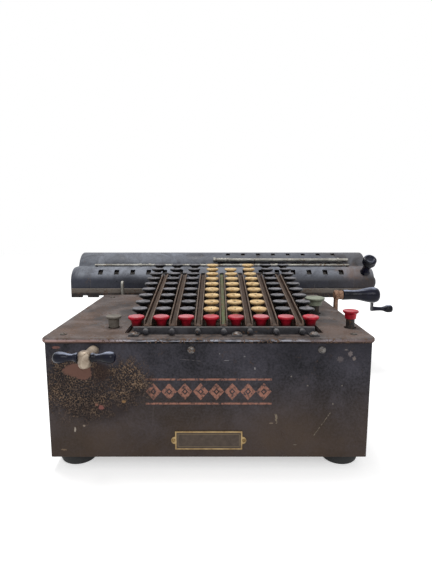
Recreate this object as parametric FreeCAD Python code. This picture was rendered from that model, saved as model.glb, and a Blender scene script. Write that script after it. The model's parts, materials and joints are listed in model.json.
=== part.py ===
"""Hand-cranked desk calculator with a full keyboard and a shifting dial carriage.

Lengths are in millimetres. The model is laid out in the casing's own coordinates: x from the casing's middle,
y backwards from the outside of the front panel, z up from the table. At the end every piece moves by
(shift_x, shift_y, 0), so that the origin lies on the table, in the middle of the machine's whole outline.
"""
import FreeCAD, Part
import math
import os

from FreeCAD import Vector

# ---------------------------------------------------------------- driving dimensions
pitch = 19.05            # spacing of the key columns, dials and carriage steps: 3/4 inch
row_pitch = 15.875       # spacing of the key rows: 5/8 inch
columns = 8
rows = 9
dials = 16               # lower dials; the upper row has one for each key column
running = 0.06           # radial clearance of a shaft in its bearing
slip = 0.3               # clearance of a flat slide in its slot

# casing
margin_left = 62.275     # from the casing's left side to the first key column
margin_right = 39.875    # from the last key column to the right side
margin_behind = 13.3     # from the last key row to the cover's rear edge
rear_depth = 102.7       # from there to the rear wall: the space that the carriage covers
wall = 1.5
wall_bottom = 10.3
panel_height = 91.8      # from the walls' bottom edge to the cover's upper face
cover_thickness = 4.1
cover_lip = 2.3          # how far the cover stands past the walls
cover_corner = 6.0
cover_edge = 1.8
deck_drop = 10.1         # the rear deck lies this far below the cover's upper face
deck_flange = 5.0
strip_gap = 4.3          # between the deck's front strip and the carriage's rail
corner_radius = 1.3      # of the upright corners of the walls
base_thickness = 2.0
base_bottom = 12.0
base_gap = 0.3
foot_radius = 14.4
foot_side = 15.45        # from the casing's side to a foot's middle
foot_front = 19.0
foot_rear = 24.0         # from the rear wall to a foot's middle
foot_recess = 5.0
foot_bore = 2.1
plate_half = 24.9        # half the length of the plate on the front
plate_height = 14.4
plate_thickness = 0.8
plate_lobe = 2.9
plate_z = 23.7
screw_radius = 1.5
screw_hole = 1.6
head_radius = 2.9        # of the front screws
cover_head_radius = 2.6
bar_head_radius = 3.2
cover_shank_radius = 1.3
screw_drop = 9.1         # the front screws lie this far below the cover's upper face
mode_side = 43.225       # from the casing's left side to the key that stands alone

# keyboard
red_row_y = 23.1
red_rise = 10.8          # key tops above the cover: the red row, then the first digit row
row_one_rise = 13.8
row_rise = 2.75          # each row's tops stand this much above the row in front
key_radius = 6.25
opening_side = 1.0       # from the key tops' edges to the cover's opening
opening_back = 1.8
digit_travel = 4.5
red_travel = 3.5
key_depth = 9.0          # height of a function key's cap
clear_depth = 6.6
key_neck = 0.9           # a function key's cap is this much wider than its stem where they meet
stem_thickness = 1.8
stem_depth = 6.0
stem_below = 2.0         # the stems reach this far below the guide plate
key_plate_thickness = 2.0
guide_drop = 12.6        # the guide plate's upper face, below the cover's
guide_plate_thickness = 1.5
latched_column = 5       # the key of the last row in this column stands pressed
latched_row = 9

# plates between the key columns, and the decimal rods between the plates
section_gap = 0.35       # from a key top's edge to the plate beside it
section_thickness = 1.0
section_front = 15.5
section_drop = 1.6       # the plates' upper edges lie this far below the key tops
rod_space = 0.175        # from a decimal rod to the plate beside it
rod_flat_share = 0.343   # depth of the rod's flat, as a share of its radius
rod_front_y = 10.5
rod_front_lift = 1.0     # from the cover to the underside of a rod's knob
journal_share = 0.629    # journal's radius, as a share of the rod's
knob_share = 1.257       # radius of a rod's knob, as a share of the rod's
bar_head = 0.9           # the bar's height above its bores
bar_depth = 3.0
ear_half = 3.6           # half the width of the bar's lugs for its screws
ear_thickness = 1.2
ear_inset = 1.3          # the outer screws stand this far inside the bar's ends
ear_offset = 4.8         # the bar's screws stand this far in front of the rods' bearing
middle_screw_column = 5  # the bar's middle screw stands in front of this column
post_depth = 2.2
post_wall = 1.8          # a post's width beside its bore, both sides together
post_head = 1.5

# inner frame
frame_thickness = 3.0
frame_space_left = 20.75     # from the casing's side to the left frame's outer face
frame_space_right = 15.75
frame_front = 10.0
frame_rear_space = 11.0      # from the rear wall to the frames' rear edges
frame_rear_drop = 14.1       # the frames' rear part lies this far below the cover's upper face
tie_radius = 3.0
tie_overhang = 1.5

# crank and drums
crank_share = 0.405          # gear radius, as a share of the height between base and guide plate
crank_teeth = 40
crank_rise = 7.2             # the crank's shaft lies this far above the drums' shaft
grip_rise = 10.8             # the grip's axis at rest, above the cover
crank_shaft_radius = 5.5
gear_width = 5.0
gear_space = 2.5             # between the right frame and the gears
arm_space = 3.45             # between the casing's side and the crank's arm
arm_thickness = 2.8
crank_hub_radius = 9.0
crank_spindle = 2.2
crank_grip_length = 35.4
drum_shaft_radius = 5.0
drum_share = 0.545           # height of the drums' shaft between base and guide plate, as a share
drum_tip_share = 0.35
drum_bar_height = 6.0
drum_width = 12.0
drum_teeth = 9
drum_steps = 34              # tooth spaces round a drum
drum_offset = 46.1           # from the drums' shaft back to the dials

# carriage
steps_left = 4               # places the carriage can shift to the left of where it stands
steps_right = 3
end_left = 34.425            # from the first dial to the carriage's left end
end_right = 38.325
cover_end_left = 10.825      # from the first dial to the joint of the sheet cover and the left casting
cover_end_right = 13.925
sheet = 1.3
casting_wall = 2.4
casting_web = 3.0
carriage_drop = 5.1          # the carriage's lower edge, below the cover's upper face
roll_back = 42.1             # from the top cover's rear edge to the lower dials' axis
roll_rise = 8.6
roll_radius = 18.1
hood_offset = 38.3           # from the lower dials' axis back to the hood's axis
hood_lift = 8.2
hood_radius = 24.8
carriage_depth = 54.6        # from the lower dials' axis to the carriage's rear face
roll_space = 0.525       # from the dial gears' tips to the roll's sheet
dial_teeth = 20
dial_space = 3.5         # from a lower dial's face to the roll's sheet
dial_width = 8.0
dial_shaft_radius = 3.0
dial_hub = 8.0
gear_offset = 5.0            # a dial's gear starts this far right of the dial's middle
gear_slab = 3.0
transfer_teeth = 30
transfer_shaft_radius = 3.0
upper_dial_space = 0.55
upper_dial_front = 3.9   # the upper dials' axis, forward of and above the hood's
upper_dial_rise = 6.7
tooth_head = 0.85        # height of a tooth above the pitch circle, in modules
tooth_root = 1.15
repeat_depth = 7.0
repeat_neck = 6.2
repeat_space = 0.875     # from the last column of keys to the key beside it
rail_depth = 3.5
rail_drop = 6.8
rail_height = 10.2
rail_inset = 1.5
notch_radius = 3.2
notches = 9
slide_rod_radius = 4.5
slide_rod_offset = 46.1      # from the lower dials' axis back to the slide rod
slide_rod_rise = 1.9
bearing_width = 12.0
bearing_wall = 1.3
bearing_post = 8.0
bearing_root = 16.0
lower_marker_radius = 1.3
upper_marker_radius = 1.8
marker_back = 10.9           # the lower marker rod lies this far behind the lower dials' axis
marker_gap = 0.1             # and this far above the castings that carry it
marker_angle = 51.0          # place of the upper marker rod on the hood, from straight up
lower_window_angle = 41.0
lower_window_width = 5.4
lower_window_height = 7.6
upper_window_angle = 22.0
upper_window_width = 5.0
upper_window_height = 6.0
slot_angle = 58.0            # place of the slot below the upper marker rod
slot_width = 2.2
lower_marker_places = (43.8, 55.2, 211.8)           # from the first dial
upper_marker_places = (3.8, 7.8, 11.8, 15.8, 153.0) # from the rod's left end
rider_wall = 0.6
rider_length = 3.0
knob_angle = 43.0
knob_inset = 10.4            # from the carriage's right end to the knob

# lever in front of the carriage
catch_back = 10.2            # from the top cover's rear edge to the lever's pivot
catch_drop = 21.1
catch_rise = 11.1
catch_thickness = 2.4
catch_pin = 1.5

# carriage shift
shift_side = 35.85           # from the casing's left side to the T-handle
shift_drop = 9.1
shift_shaft_radius = 2.6
shift_pin_radius = 2.0
shift_disc = 2.8
handle_rise = 2.0            # the grips lie this far above the shaft
handle_reach = 23.6          # from the front panel to the T-handle's middle
handle_half = 20.9
handle_hub_radius = 4.4
handle_neck_radius = 4.0
handle_neck_gap = 0.6    # between the neck and the front panel

# clearing crank
clear_collar = 3.6
clear_radius = 33.4
clear_arm_thickness = 2.2
clear_spindle = 1.4
clear_grip_length = 24.0

# ---------------------------------------------------------------- places that follow from them
casing_width = margin_left + (columns - 1) * pitch + margin_right
casing_half = casing_width / 2
inner_half = casing_half - wall
first_column_x = margin_left - casing_half
keyboard_x = first_column_x + (columns - 1) / 2 * pitch
row_one_y = red_row_y + row_pitch
last_row_y = red_row_y + rows * row_pitch
cover_back = last_row_y + margin_behind
casing_depth = cover_back + rear_depth
cover_top = wall_bottom + panel_height
wall_top = cover_top - cover_thickness
deck_top = cover_top - deck_drop
base_top = base_bottom + base_thickness
foot_inset = casing_half - foot_side
foot_back = casing_depth - foot_rear

red_top = cover_top + red_rise
row_one_top = cover_top + row_one_rise
key_plate_top = wall_top
key_plate_bottom = key_plate_top - key_plate_thickness
guide_plate_top = cover_top - guide_drop
guide_plate_bottom = guide_plate_top - guide_plate_thickness
stem_bottom = guide_plate_bottom - stem_below
section_back = last_row_y - 1.57 * row_pitch
column_half = key_radius + section_gap + section_thickness
rod_radius = pitch / 2 - column_half - rod_space
journal_radius = journal_share * rod_radius
knob_radius = knob_share * rod_radius
post_width = 2 * journal_radius + post_wall
rod_flat = rod_flat_share * rod_radius
rod_front_z = cover_top + rod_front_lift + knob_radius
bar_height = rod_front_lift + knob_radius + journal_radius + bar_head
rod_back_y = section_back + 1.5

frame_left_x = frame_space_left - casing_half
frame_right_x = casing_half - frame_space_right
frame_left_inner = frame_left_x + frame_thickness
frame_right_inner = frame_right_x - frame_thickness
frame_back = casing_depth - frame_rear_space
frame_rear_top = cover_top - frame_rear_drop

roll_y = cover_back + roll_back
roll_z = cover_top + roll_rise
hood_y = roll_y + hood_offset
hood_z = roll_z + hood_lift
carriage_back = roll_y + carriage_depth
carriage_bottom = cover_top - carriage_drop
upper_dial_y = hood_y - upper_dial_front
upper_dial_z = hood_z + upper_dial_rise
upper_dial_radius = hood_radius - sheet - math.hypot(upper_dial_front, upper_dial_rise) - upper_dial_space
gear_module = (roll_radius - sheet - roll_space) / (dial_teeth / 2 + tooth_head)
dial_radius = roll_radius - sheet - dial_space
first_dial_x = first_column_x - steps_left * pitch
last_dial_x = first_dial_x + (dials - 1) * pitch
carriage_left = first_dial_x - end_left
carriage_right = last_dial_x + end_right
cover_left = first_dial_x - cover_end_left
cover_right = last_dial_x + cover_end_right
rail_front = roll_y - roll_radius - rail_depth
rail_bottom = cover_top - rail_drop
rail_top = rail_bottom + rail_height
slide_rod_y = roll_y + slide_rod_offset
slide_rod_z = cover_top + slide_rod_rise
transfer_y = roll_y
transfer_z = roll_z - gear_module * (dial_teeth + transfer_teeth) / 2

inner_height = guide_plate_bottom - base_top
crank_gear_radius = crank_share * inner_height
crank_module = 2 * crank_gear_radius / crank_teeth
drum_y = roll_y - drum_offset
drum_z = base_top + drum_share * inner_height
drum_tip = drum_tip_share * inner_height
drum_core = drum_tip - drum_bar_height
crank_z = drum_z + crank_rise
crank_y = drum_y - math.sqrt((2 * crank_gear_radius) ** 2 - crank_rise ** 2)
crank_radius = cover_top + grip_rise - crank_z
gear_x = frame_right_x + gear_space
arm_x = casing_half + arm_space
catch_y = cover_back + catch_back
catch_z = cover_top - catch_drop
shift_x_pos = shift_side - casing_half
shift_z = cover_top - shift_drop
shift_pin_circle = pitch / (2 * math.pi)
clear_arm_x = carriage_right + clear_collar
clear_grip_tip = clear_arm_x + clear_arm_thickness + slip + clear_grip_length
handle_front = -(handle_reach + handle_hub_radius)

# the whole outline's middle becomes the origin
shift_x = -(clear_grip_tip + carriage_left) / 2
shift_y = -(casing_depth + handle_front) / 2

made = {}


# ---------------------------------------------------------------- helpers
def block(x0, x1, y0, y1, z0, z1):
    """Box between two corners."""
    return Part.makeBox(x1 - x0, y1 - y0, z1 - z0, Vector(x0, y0, z0))


def rod_x(x0, x1, y, z, radius):
    """Round bar along x."""
    return Part.makeCylinder(radius, x1 - x0, Vector(x0, y, z), Vector(1, 0, 0))


def rod_y(y0, y1, x, z, radius):
    """Round bar along y."""
    return Part.makeCylinder(radius, y1 - y0, Vector(x, y0, z), Vector(0, 1, 0))


def rod_z(z0, z1, x, y, radius):
    """Round bar along z."""
    return Part.makeCylinder(radius, z1 - z0, Vector(x, y, z0), Vector(0, 0, 1))


def turned(profile, place, direction):
    """Solid of revolution. profile holds (distance along the axis, radius) from one end to the other."""
    points = [Vector(radius, 0, along) for along, radius in profile]
    points = [Vector(0, 0, profile[0][0])] + points + [Vector(0, 0, profile[-1][0])]
    kept = [points[0]]
    for point in points[1:]:
        if point.distanceToPoint(kept[-1]) > 1e-6:
            kept.append(point)
    face = Part.Face(Part.makePolygon(kept + [kept[0]]))
    body = face.revolve(Vector(0, 0, 0), Vector(0, 0, 1), 360)
    body = Part.Solid(body) if body.ShapeType == "Shell" else body
    turn = FreeCAD.Rotation(Vector(0, 0, 1), Vector(*direction))
    body.Placement = FreeCAD.Placement(Vector(*place), turn)
    return body


def gear(x0, width, y, z, teeth, bore, phase, module):
    """Spur gear whose axis lies along x. A tooth stands at the angle phase, measured from +y towards +z."""
    pitch_radius = module * teeth / 2
    addendum = tooth_head * module
    dedendum = tooth_root * module
    flank = math.tan(math.radians(20))
    half = math.pi * module / 4 - 0.14
    tip = pitch_radius + addendum
    root = pitch_radius - dedendum
    tip_half = (half - addendum * flank) / tip
    root_half = (half + dedendum * flank) / root
    points = []
    for tooth in range(teeth):
        middle = phase + 2 * math.pi * tooth / teeth
        for radius, angle in ((root, -root_half), (tip, -tip_half), (tip, tip_half), (root, root_half)):
            a = middle + angle
            points.append(Vector(x0, y + radius * math.cos(a), z + radius * math.sin(a)))
    blank = Part.Face(Part.makePolygon(points + [points[0]])).extrude(Vector(width, 0, 0))
    return blank.cut(rod_x(x0 - 1, x0 + width + 1, y, z, bore))


def fused(shapes):
    """One solid from several that meet."""
    body = shapes[0].multiFuse(shapes[1:]) if len(shapes) > 1 else shapes[0]
    return body.removeSplitter()


def rounded(shape, radius, chosen):
    """Rounds the edges that chosen() picks."""
    edges = [edge for edge in shape.Edges if chosen(edge)]
    return shape.makeFillet(radius, edges)


def runs_along(edge, axis):
    """True for a straight edge along "x", "y" or "z"."""
    if not isinstance(edge.Curve, (Part.Line, Part.LineSegment)):
        return False
    direction = edge.Vertexes[0].Point.sub(edge.Vertexes[-1].Point)
    return abs(getattr(direction, axis)) > 0.999 * direction.Length


def save(name, solids):
    """Moves a node's solids into the row frame and writes them."""
    flat = []
    for solid in solids:
        flat += solid.Solids
    for solid in flat:
        if not solid.isValid():
            raise ValueError(f"{name} has an invalid solid")
    moved = [solid.translated(Vector(shift_x, shift_y, 0)) for solid in flat]
    Part.makeCompound(moved).exportStep(f"parts/{name}.step")
    made[name] = flat


def column_x(column):
    """Middle of key column 1 to 8."""
    return first_column_x + (column - 1) * pitch


def row_y(row):
    """Middle of digit row 1 to 9."""
    return row_one_y + (row - 1) * row_pitch


def row_top(row):
    """Height of the key tops of digit row 1 to 9."""
    return row_one_top + (row - 1) * row_rise


def dial_x(dial):
    """Middle of lower dial 0 to 15."""
    return first_dial_x + dial * pitch


def arc_point(y, z, radius, degrees):
    """Point on a circle in the y-z plane; degrees from straight up, positive towards the front."""
    angle = math.radians(degrees)
    return (y - radius * math.sin(angle), z + radius * math.cos(angle))


# function keys: x, y, cap radius, height of the top, stem radius
repeat_x = frame_right_x - 8.0
function_keys = {
    "mode_key": (mode_side - casing_half, red_row_y + 7.3, 6.0, cover_top + 9.4, 3.0),
    "keyboard_clear_key": (casing_half - 7.55, red_row_y + 6.4, 6.1, cover_top + 13.9, 3.3),
    "repeat_key": (repeat_x, red_row_y + 59.2, repeat_x - column_x(columns) - key_radius - repeat_space,
                   cover_top + 14.6, 4.4),
}


# ---------------------------------------------------------------- casing
def make_casing():
    """Front panel, side and rear walls, base, cover, feet and the plate on the front."""
    panel = block(-casing_half, casing_half, 0, wall, wall_bottom, wall_top)
    panel = rounded(panel, corner_radius, lambda e: runs_along(e, "z") and e.CenterOfMass.y < 0.1)
    panel = panel.cut(rod_y(-1, wall + 1, shift_x_pos, shift_z, shift_shaft_radius + 0.4))
    for x, z in panel_screws():
        panel = panel.cut(rod_y(-1, wall + 1, x, z, screw_hole))
    save("front_panel", [panel])

    sides = []
    for side in (-1, 1):
        outline = [
            (wall, wall_bottom), (wall, wall_top), (cover_back, wall_top),
            (cover_back, deck_top), (casing_depth - wall, deck_top), (casing_depth - wall, wall_bottom),
        ]
        x = -casing_half if side < 0 else inner_half
        points = [Vector(x, y, z) for y, z in outline]
        sides.append(Part.Face(Part.makePolygon(points + [points[0]])).extrude(Vector(wall, 0, 0)))
    rear = block(-casing_half, casing_half, casing_depth - wall, casing_depth, wall_bottom, deck_top)
    step = block(-inner_half, inner_half, cover_back - wall, cover_back, deck_top - wall, wall_top)
    low = deck_top - wall
    far = casing_depth - wall
    flanges = [
        block(-inner_half, -inner_half + deck_flange, cover_back, far, low, deck_top),
        block(inner_half - deck_flange, inner_half, cover_back, far, low, deck_top),
        block(-inner_half, inner_half, far - deck_flange + 1, far, low, deck_top),
    ]
    strip = block(-inner_half, inner_half, cover_back, rail_front - strip_gap, low, deck_top)
    strip = strip.cut(rod_y(cover_back, rail_front, shift_x_pos, shift_z, shift_shaft_radius + slip))
    strip = strip.cut(block(frame_left_x - 6.6, frame_left_x - 3.0, catch_y - 6, catch_y + 6, low - 1,
                            deck_top + 1))
    shell = fused(sides + [rear, step, strip] + flanges)
    shell = rounded(shell, corner_radius, lambda e: runs_along(e, "z")
                    and abs(e.CenterOfMass.x) > casing_half - 0.1 and e.CenterOfMass.y > casing_depth - 0.1)
    shell = shell.cut(rod_x(inner_half - 1, casing_half + 1, crank_y, crank_z, crank_shaft_radius + 0.5))
    shell = shell.cut(rod_y(cover_back - wall - 1, cover_back + 1, shift_x_pos, shift_z,
                            shift_shaft_radius + running))
    save("casing_shell", [shell])

    reach = inner_half - base_gap
    base = block(-reach, reach, wall + base_gap, casing_depth - wall - base_gap, base_bottom, base_top)
    for x, y in foot_places():
        base = base.cut(rod_z(base_bottom - 1, base_top + 1, x, y, foot_bore))
    save("base_plate", [base])

    feet = []
    for x, y in foot_places():
        foot = turned([(0, foot_radius - 2.2), (1.2, foot_radius - 0.7), (3.5, foot_radius),
                       (base_bottom, foot_radius - 0.6)], (x, y, 0), (0, 0, 1))
        foot = foot.cut(rod_z(-1, 4.0, x, y, foot_recess)).cut(rod_z(-1, base_bottom + 1, x, y, foot_bore))
        feet.append(foot)
    save("rubber_feet", feet)

    half = casing_half + cover_lip
    cover = block(-half, half, -cover_lip, cover_back, wall_top, cover_top)
    cover = rounded(cover, cover_corner, lambda e: runs_along(e, "z") and e.CenterOfMass.y < 0)
    cover = rounded(cover, cover_edge,
                    lambda e: e.CenterOfMass.y < cover_back - 0.1 and not runs_along(e, "z"))
    half_opening = (columns - 1) / 2 * pitch + key_radius + opening_side
    opening_front = rod_front_y + bar_depth / 2 + 1
    cover = cover.cut(block(keyboard_x - half_opening, keyboard_x + half_opening, opening_front,
                            last_row_y + key_radius + opening_back, wall_top - 1, cover_top + 1))
    for x, y, radius, top, stem in function_keys.values():
        cover = cover.cut(rod_z(wall_top - 1, cover_top + 1, x, y, stem + key_neck + 2 * slip))
    for x, y in cover_screws() + bar_screws():
        cover = cover.cut(rod_z(wall_top - 1, cover_top + 1, x, y, cover_shank_radius + 0.1))
    save("top_cover", [cover])

    plate = block(-plate_half, plate_half, -plate_thickness, 0, plate_z - plate_height / 2,
                  plate_z + plate_height / 2)
    lobes = [rod_y(-plate_thickness, 0, side * plate_half, plate_z, plate_lobe) for side in (-1, 1)]
    plate = fused([plate] + lobes)
    save("maker_plate", [plate])


def foot_places():
    """Middles of the four feet."""
    return [(side * foot_inset, y) for side in (-1, 1) for y in (foot_front, foot_back)]


def panel_screws():
    """Two screws below the cover's lip."""
    z = cover_top - screw_drop
    return [(keyboard_x - 23.6, z), (keyboard_x + 70.3, z)]


def cover_screws():
    """A screw near each corner of the cover."""
    side = casing_half - 11.05
    rear = cover_back - 17.3
    return [(-side, 9.0), (side, 9.0), (-side, rear), (casing_half - 5.75, rear)]


def bar_screws():
    """The three screws of the bar in front of the keys."""
    reach = (columns - 1) / 2 * pitch - ear_inset
    y = rod_front_y - ear_offset
    return [(x, y) for x in (keyboard_x - reach, column_x(middle_screw_column), keyboard_x + reach)]


def round_head(radius):
    """Profile of a low round screw head."""
    return [(0, radius), (0.8, radius - 0.2), (1.4, radius - 1.2)]


def make_screws():
    """Slotted round-head screws of the casing, the two rivets of the plate and the foot screws."""
    screws = []
    for x, z in panel_screws():
        head = turned(round_head(head_radius), (x, 0, z), (0, -1, 0))
        shank = rod_y(0, wall + 3, x, z, screw_radius)
        slot = block(x - 0.35, x + 0.35, -2, -0.9, z - head_radius - 1, z + head_radius + 1)
        screws.append(fused([head, shank]).cut(slot))
    for x, y in cover_screws() + bar_screws():
        on_bar = (x, y) in bar_screws()
        seat = cover_top + (ear_thickness if on_bar else 0)
        radius = bar_head_radius if on_bar else cover_head_radius
        head = turned(round_head(radius), (x, y, seat), (0, 0, 1))
        shank = rod_z(wall_top, seat, x, y, cover_shank_radius)
        slot = block(x - 4, x + 4, y - 0.3, y + 0.3, seat + 0.8, seat + 3)
        screws.append(fused([head, shank]).cut(slot))
    for side in (-1, 1):
        seat = (side * (plate_half + 1.3), -plate_thickness, plate_z)
        screws.append(turned([(0, 1.5), (0.5, 1.3), (0.9, 0.6)], seat, (0, -1, 0)))
    for x, y in foot_places():
        head = rod_z(2.2, 4.0, x, y, 4.4)
        screws.append(fused([head, rod_z(4.0, base_top - 0.2, x, y, 1.95)]))
    save("casing_screws", screws)


# ---------------------------------------------------------------- keyboard
def slots(z0, z1):
    """The slots that the stems of all key columns pass through."""
    holes = []
    for column in range(1, columns + 1):
        for y in [red_row_y] + [row_y(row) for row in range(1, rows + 1)]:
            x = column_x(column)
            holes.append(block(x - stem_thickness / 2 - slip, x + stem_thickness / 2 + slip,
                               y - stem_depth / 2 - slip, y + stem_depth / 2 + slip, z0, z1))
    return Part.makeCompound(holes)


def make_key_plates():
    """Upper key plate on the frames' top edges, and the lower guide plate between the frames."""
    upper = block(frame_left_x, inner_half - slip, frame_front - 2, cover_back - wall - slip,
                  key_plate_bottom, key_plate_top)
    upper = upper.cut(slots(key_plate_bottom - 1, key_plate_top + 1))
    for x, y, radius, top, stem in function_keys.values():
        upper = upper.cut(rod_z(key_plate_bottom - 1, key_plate_top + 1, x, y, stem + slip))
    save("key_plate", [upper])

    bottom = guide_plate_bottom
    lower = block(frame_left_inner, frame_right_inner, frame_front + 4, cover_back - wall - 2, bottom,
                  guide_plate_top)
    lower = lower.cut(slots(bottom - 1, guide_plate_top + 1))
    for name in ("mode_key", "repeat_key"):
        x, y, radius, top, stem = function_keys[name]
        lower = lower.cut(rod_z(bottom - 1, guide_plate_top + 1, x, y, stem + slip))
    save("key_guide_plate", [lower])


def digit_cap(x, y, top):
    """Round key top with a dished face."""
    profile = [(-5.0, 2.6), (-3.4, 3.4), (-2.0, key_radius - 0.5), (-1.2, key_radius),
               (-0.5, key_radius - 0.1), (0, key_radius - 0.9), (-0.7, 3.0), (-0.9, 0)]
    return turned(profile, (x, y, top), (0, 0, 1))


def red_cap(x, y, top):
    """Taller key top that narrows downwards like a trumpet."""
    profile = [(-8.0, 3.9), (-6.0, 4.1), (-3.6, 4.9), (-2.0, key_radius - 0.2), (-1.2, key_radius),
               (-0.4, key_radius - 0.1), (0, key_radius - 0.9), (-0.6, 3.0), (-0.8, 0)]
    return turned(profile, (x, y, top), (0, 0, 1))


def make_keys():
    """Each column's nine digit keys travel as one bank; each column-clear key moves by itself."""
    for column in range(1, columns + 1):
        x = column_x(column)
        bank = []
        for row in range(1, rows + 1):
            latched = (column, row) == (latched_column, latched_row)
            top = row_top(row) - (digit_travel if latched else 0)
            y = row_y(row)
            bank.append(digit_cap(x, y, top))
            bank.append(block(x - stem_thickness / 2, x + stem_thickness / 2, y - stem_depth / 2,
                              y + stem_depth / 2, stem_bottom, top - 5.0))
        save(f"digit_keys_{column}", bank)
        red_stem = block(x - stem_thickness / 2, x + stem_thickness / 2, red_row_y - stem_depth / 2,
                         red_row_y + stem_depth / 2, stem_bottom, red_top - 8.0)
        save(f"column_clear_key_{column}", [red_cap(x, red_row_y, red_top), red_stem])


def make_function_keys():
    """Three larger keys on round stems beside the keyboard."""
    for name, (x, y, radius, top, stem) in function_keys.items():
        deep = key_depth
        neck = stem + key_neck
        if name == "keyboard_clear_key":
            deep = clear_depth
        if name == "repeat_key":
            deep = repeat_depth
            neck = repeat_neck
        profile = [(-deep, neck), (-deep * 0.62, neck + 0.3), (-2.2, radius - 0.4), (-1.3, radius),
                   (-0.4, radius - 0.1), (0, radius - 0.9), (-0.6, radius * 0.5), (-0.8, 0)]
        cap = turned(profile, (x, y, top), (0, 0, 1))
        foot = key_plate_bottom - 4.2 if name == "keyboard_clear_key" else stem_bottom
        save(name, [cap, rod_z(foot, top - deep, x, y, stem)])


def make_sections():
    """Two upright plates in each gap between the key columns, standing on the key plate."""
    offset = key_radius + section_gap
    plates = []

    def top_at(y):
        return row_one_top + (y - row_one_y) * row_rise / row_pitch - section_drop

    for column in range(1, columns):
        for x in (column_x(column) + offset, column_x(column + 1) - offset - section_thickness):
            near = section_front + 3.0
            far = section_back - 5.0
            outline = [(section_front, key_plate_top), (section_front, top_at(section_front) - 3.0),
                       (near, top_at(near)), (far, top_at(far)),
                       (section_back, top_at(section_back) - 5.0), (section_back, key_plate_top)]
            points = [Vector(x, y, z) for y, z in outline]
            face = Part.Face(Part.makePolygon(points + [points[0]]))
            plates.append(face.extrude(Vector(section_thickness, 0, 0)))
    save("key_sections", plates)


def rod_slope():
    """Angle in radians at which the decimal rods rise towards the back, parallel to the key tops."""
    return math.atan2(row_rise, row_pitch)


def rod_axis_z(y):
    """Height of the decimal rods' axis at a given y."""
    return rod_front_z + (y - rod_front_y) * math.tan(rod_slope())


def along_rod(x, shape):
    """Places a shape modelled along +z from the origin onto the sloping axis of the decimal rod at x."""
    slope = rod_slope()
    turn = FreeCAD.Rotation(Vector(0, 0, 1), Vector(0, math.cos(slope), math.sin(slope)))
    shape.Placement = FreeCAD.Placement(Vector(x, rod_front_y, rod_front_z), turn)
    return shape


def make_decimal_rods():
    """Rods that turn between the key columns, the bar that holds their front ends and their rear posts."""
    slope = rod_slope()
    length = (rod_back_y - rod_front_y) / math.cos(slope)
    reach = (columns - 1) / 2 * pitch
    bar_front = rod_front_y - bar_depth / 2
    bar_back = rod_front_y + bar_depth / 2
    bar = block(keyboard_x - reach, keyboard_x + reach, bar_front, bar_back,
                cover_top, cover_top + bar_height)
    ears = [block(x - ear_half, x + ear_half, y - ear_half, bar_back, cover_top, cover_top + ear_thickness)
            for x, y in bar_screws()]
    bar = fused([bar] + ears)
    for x, y in bar_screws():
        bar = bar.cut(rod_z(cover_top - 1, cover_top + ear_thickness + 1, x, y, cover_shank_radius + 0.1))
    posts = []
    post_y = rod_back_y + post_depth
    for i in range(columns - 1):
        x = first_column_x + (i + 0.5) * pitch
        spindle = turned([(-6.0, 1.3), (-5.4, knob_radius), (-2.4, knob_radius), (-2.2, journal_radius),
                          (2.2, journal_radius), (2.2, rod_radius), (length, rod_radius),
                          (length, journal_radius), (length + 3.4, journal_radius)], (0, 0, 0), (0, 0, 1))
        rod = spindle.cut(block(-5, 5, -5, -rod_radius + rod_flat, 3.0, length - 0.4))
        save(f"decimal_rod_{i + 1}", [along_rod(x, rod)])
        bore = along_rod(x, Part.makeCylinder(journal_radius + running, length + 30, Vector(0, 0, -10)))
        bar = bar.cut(bore)
        post = block(x - post_width / 2, x + post_width / 2, post_y - post_depth / 2,
                     post_y + post_depth / 2, key_plate_top, rod_axis_z(post_y) + journal_radius + post_head)
        posts.append(post.cut(bore))
    save("decimal_rod_supports", [bar] + posts)


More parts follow.
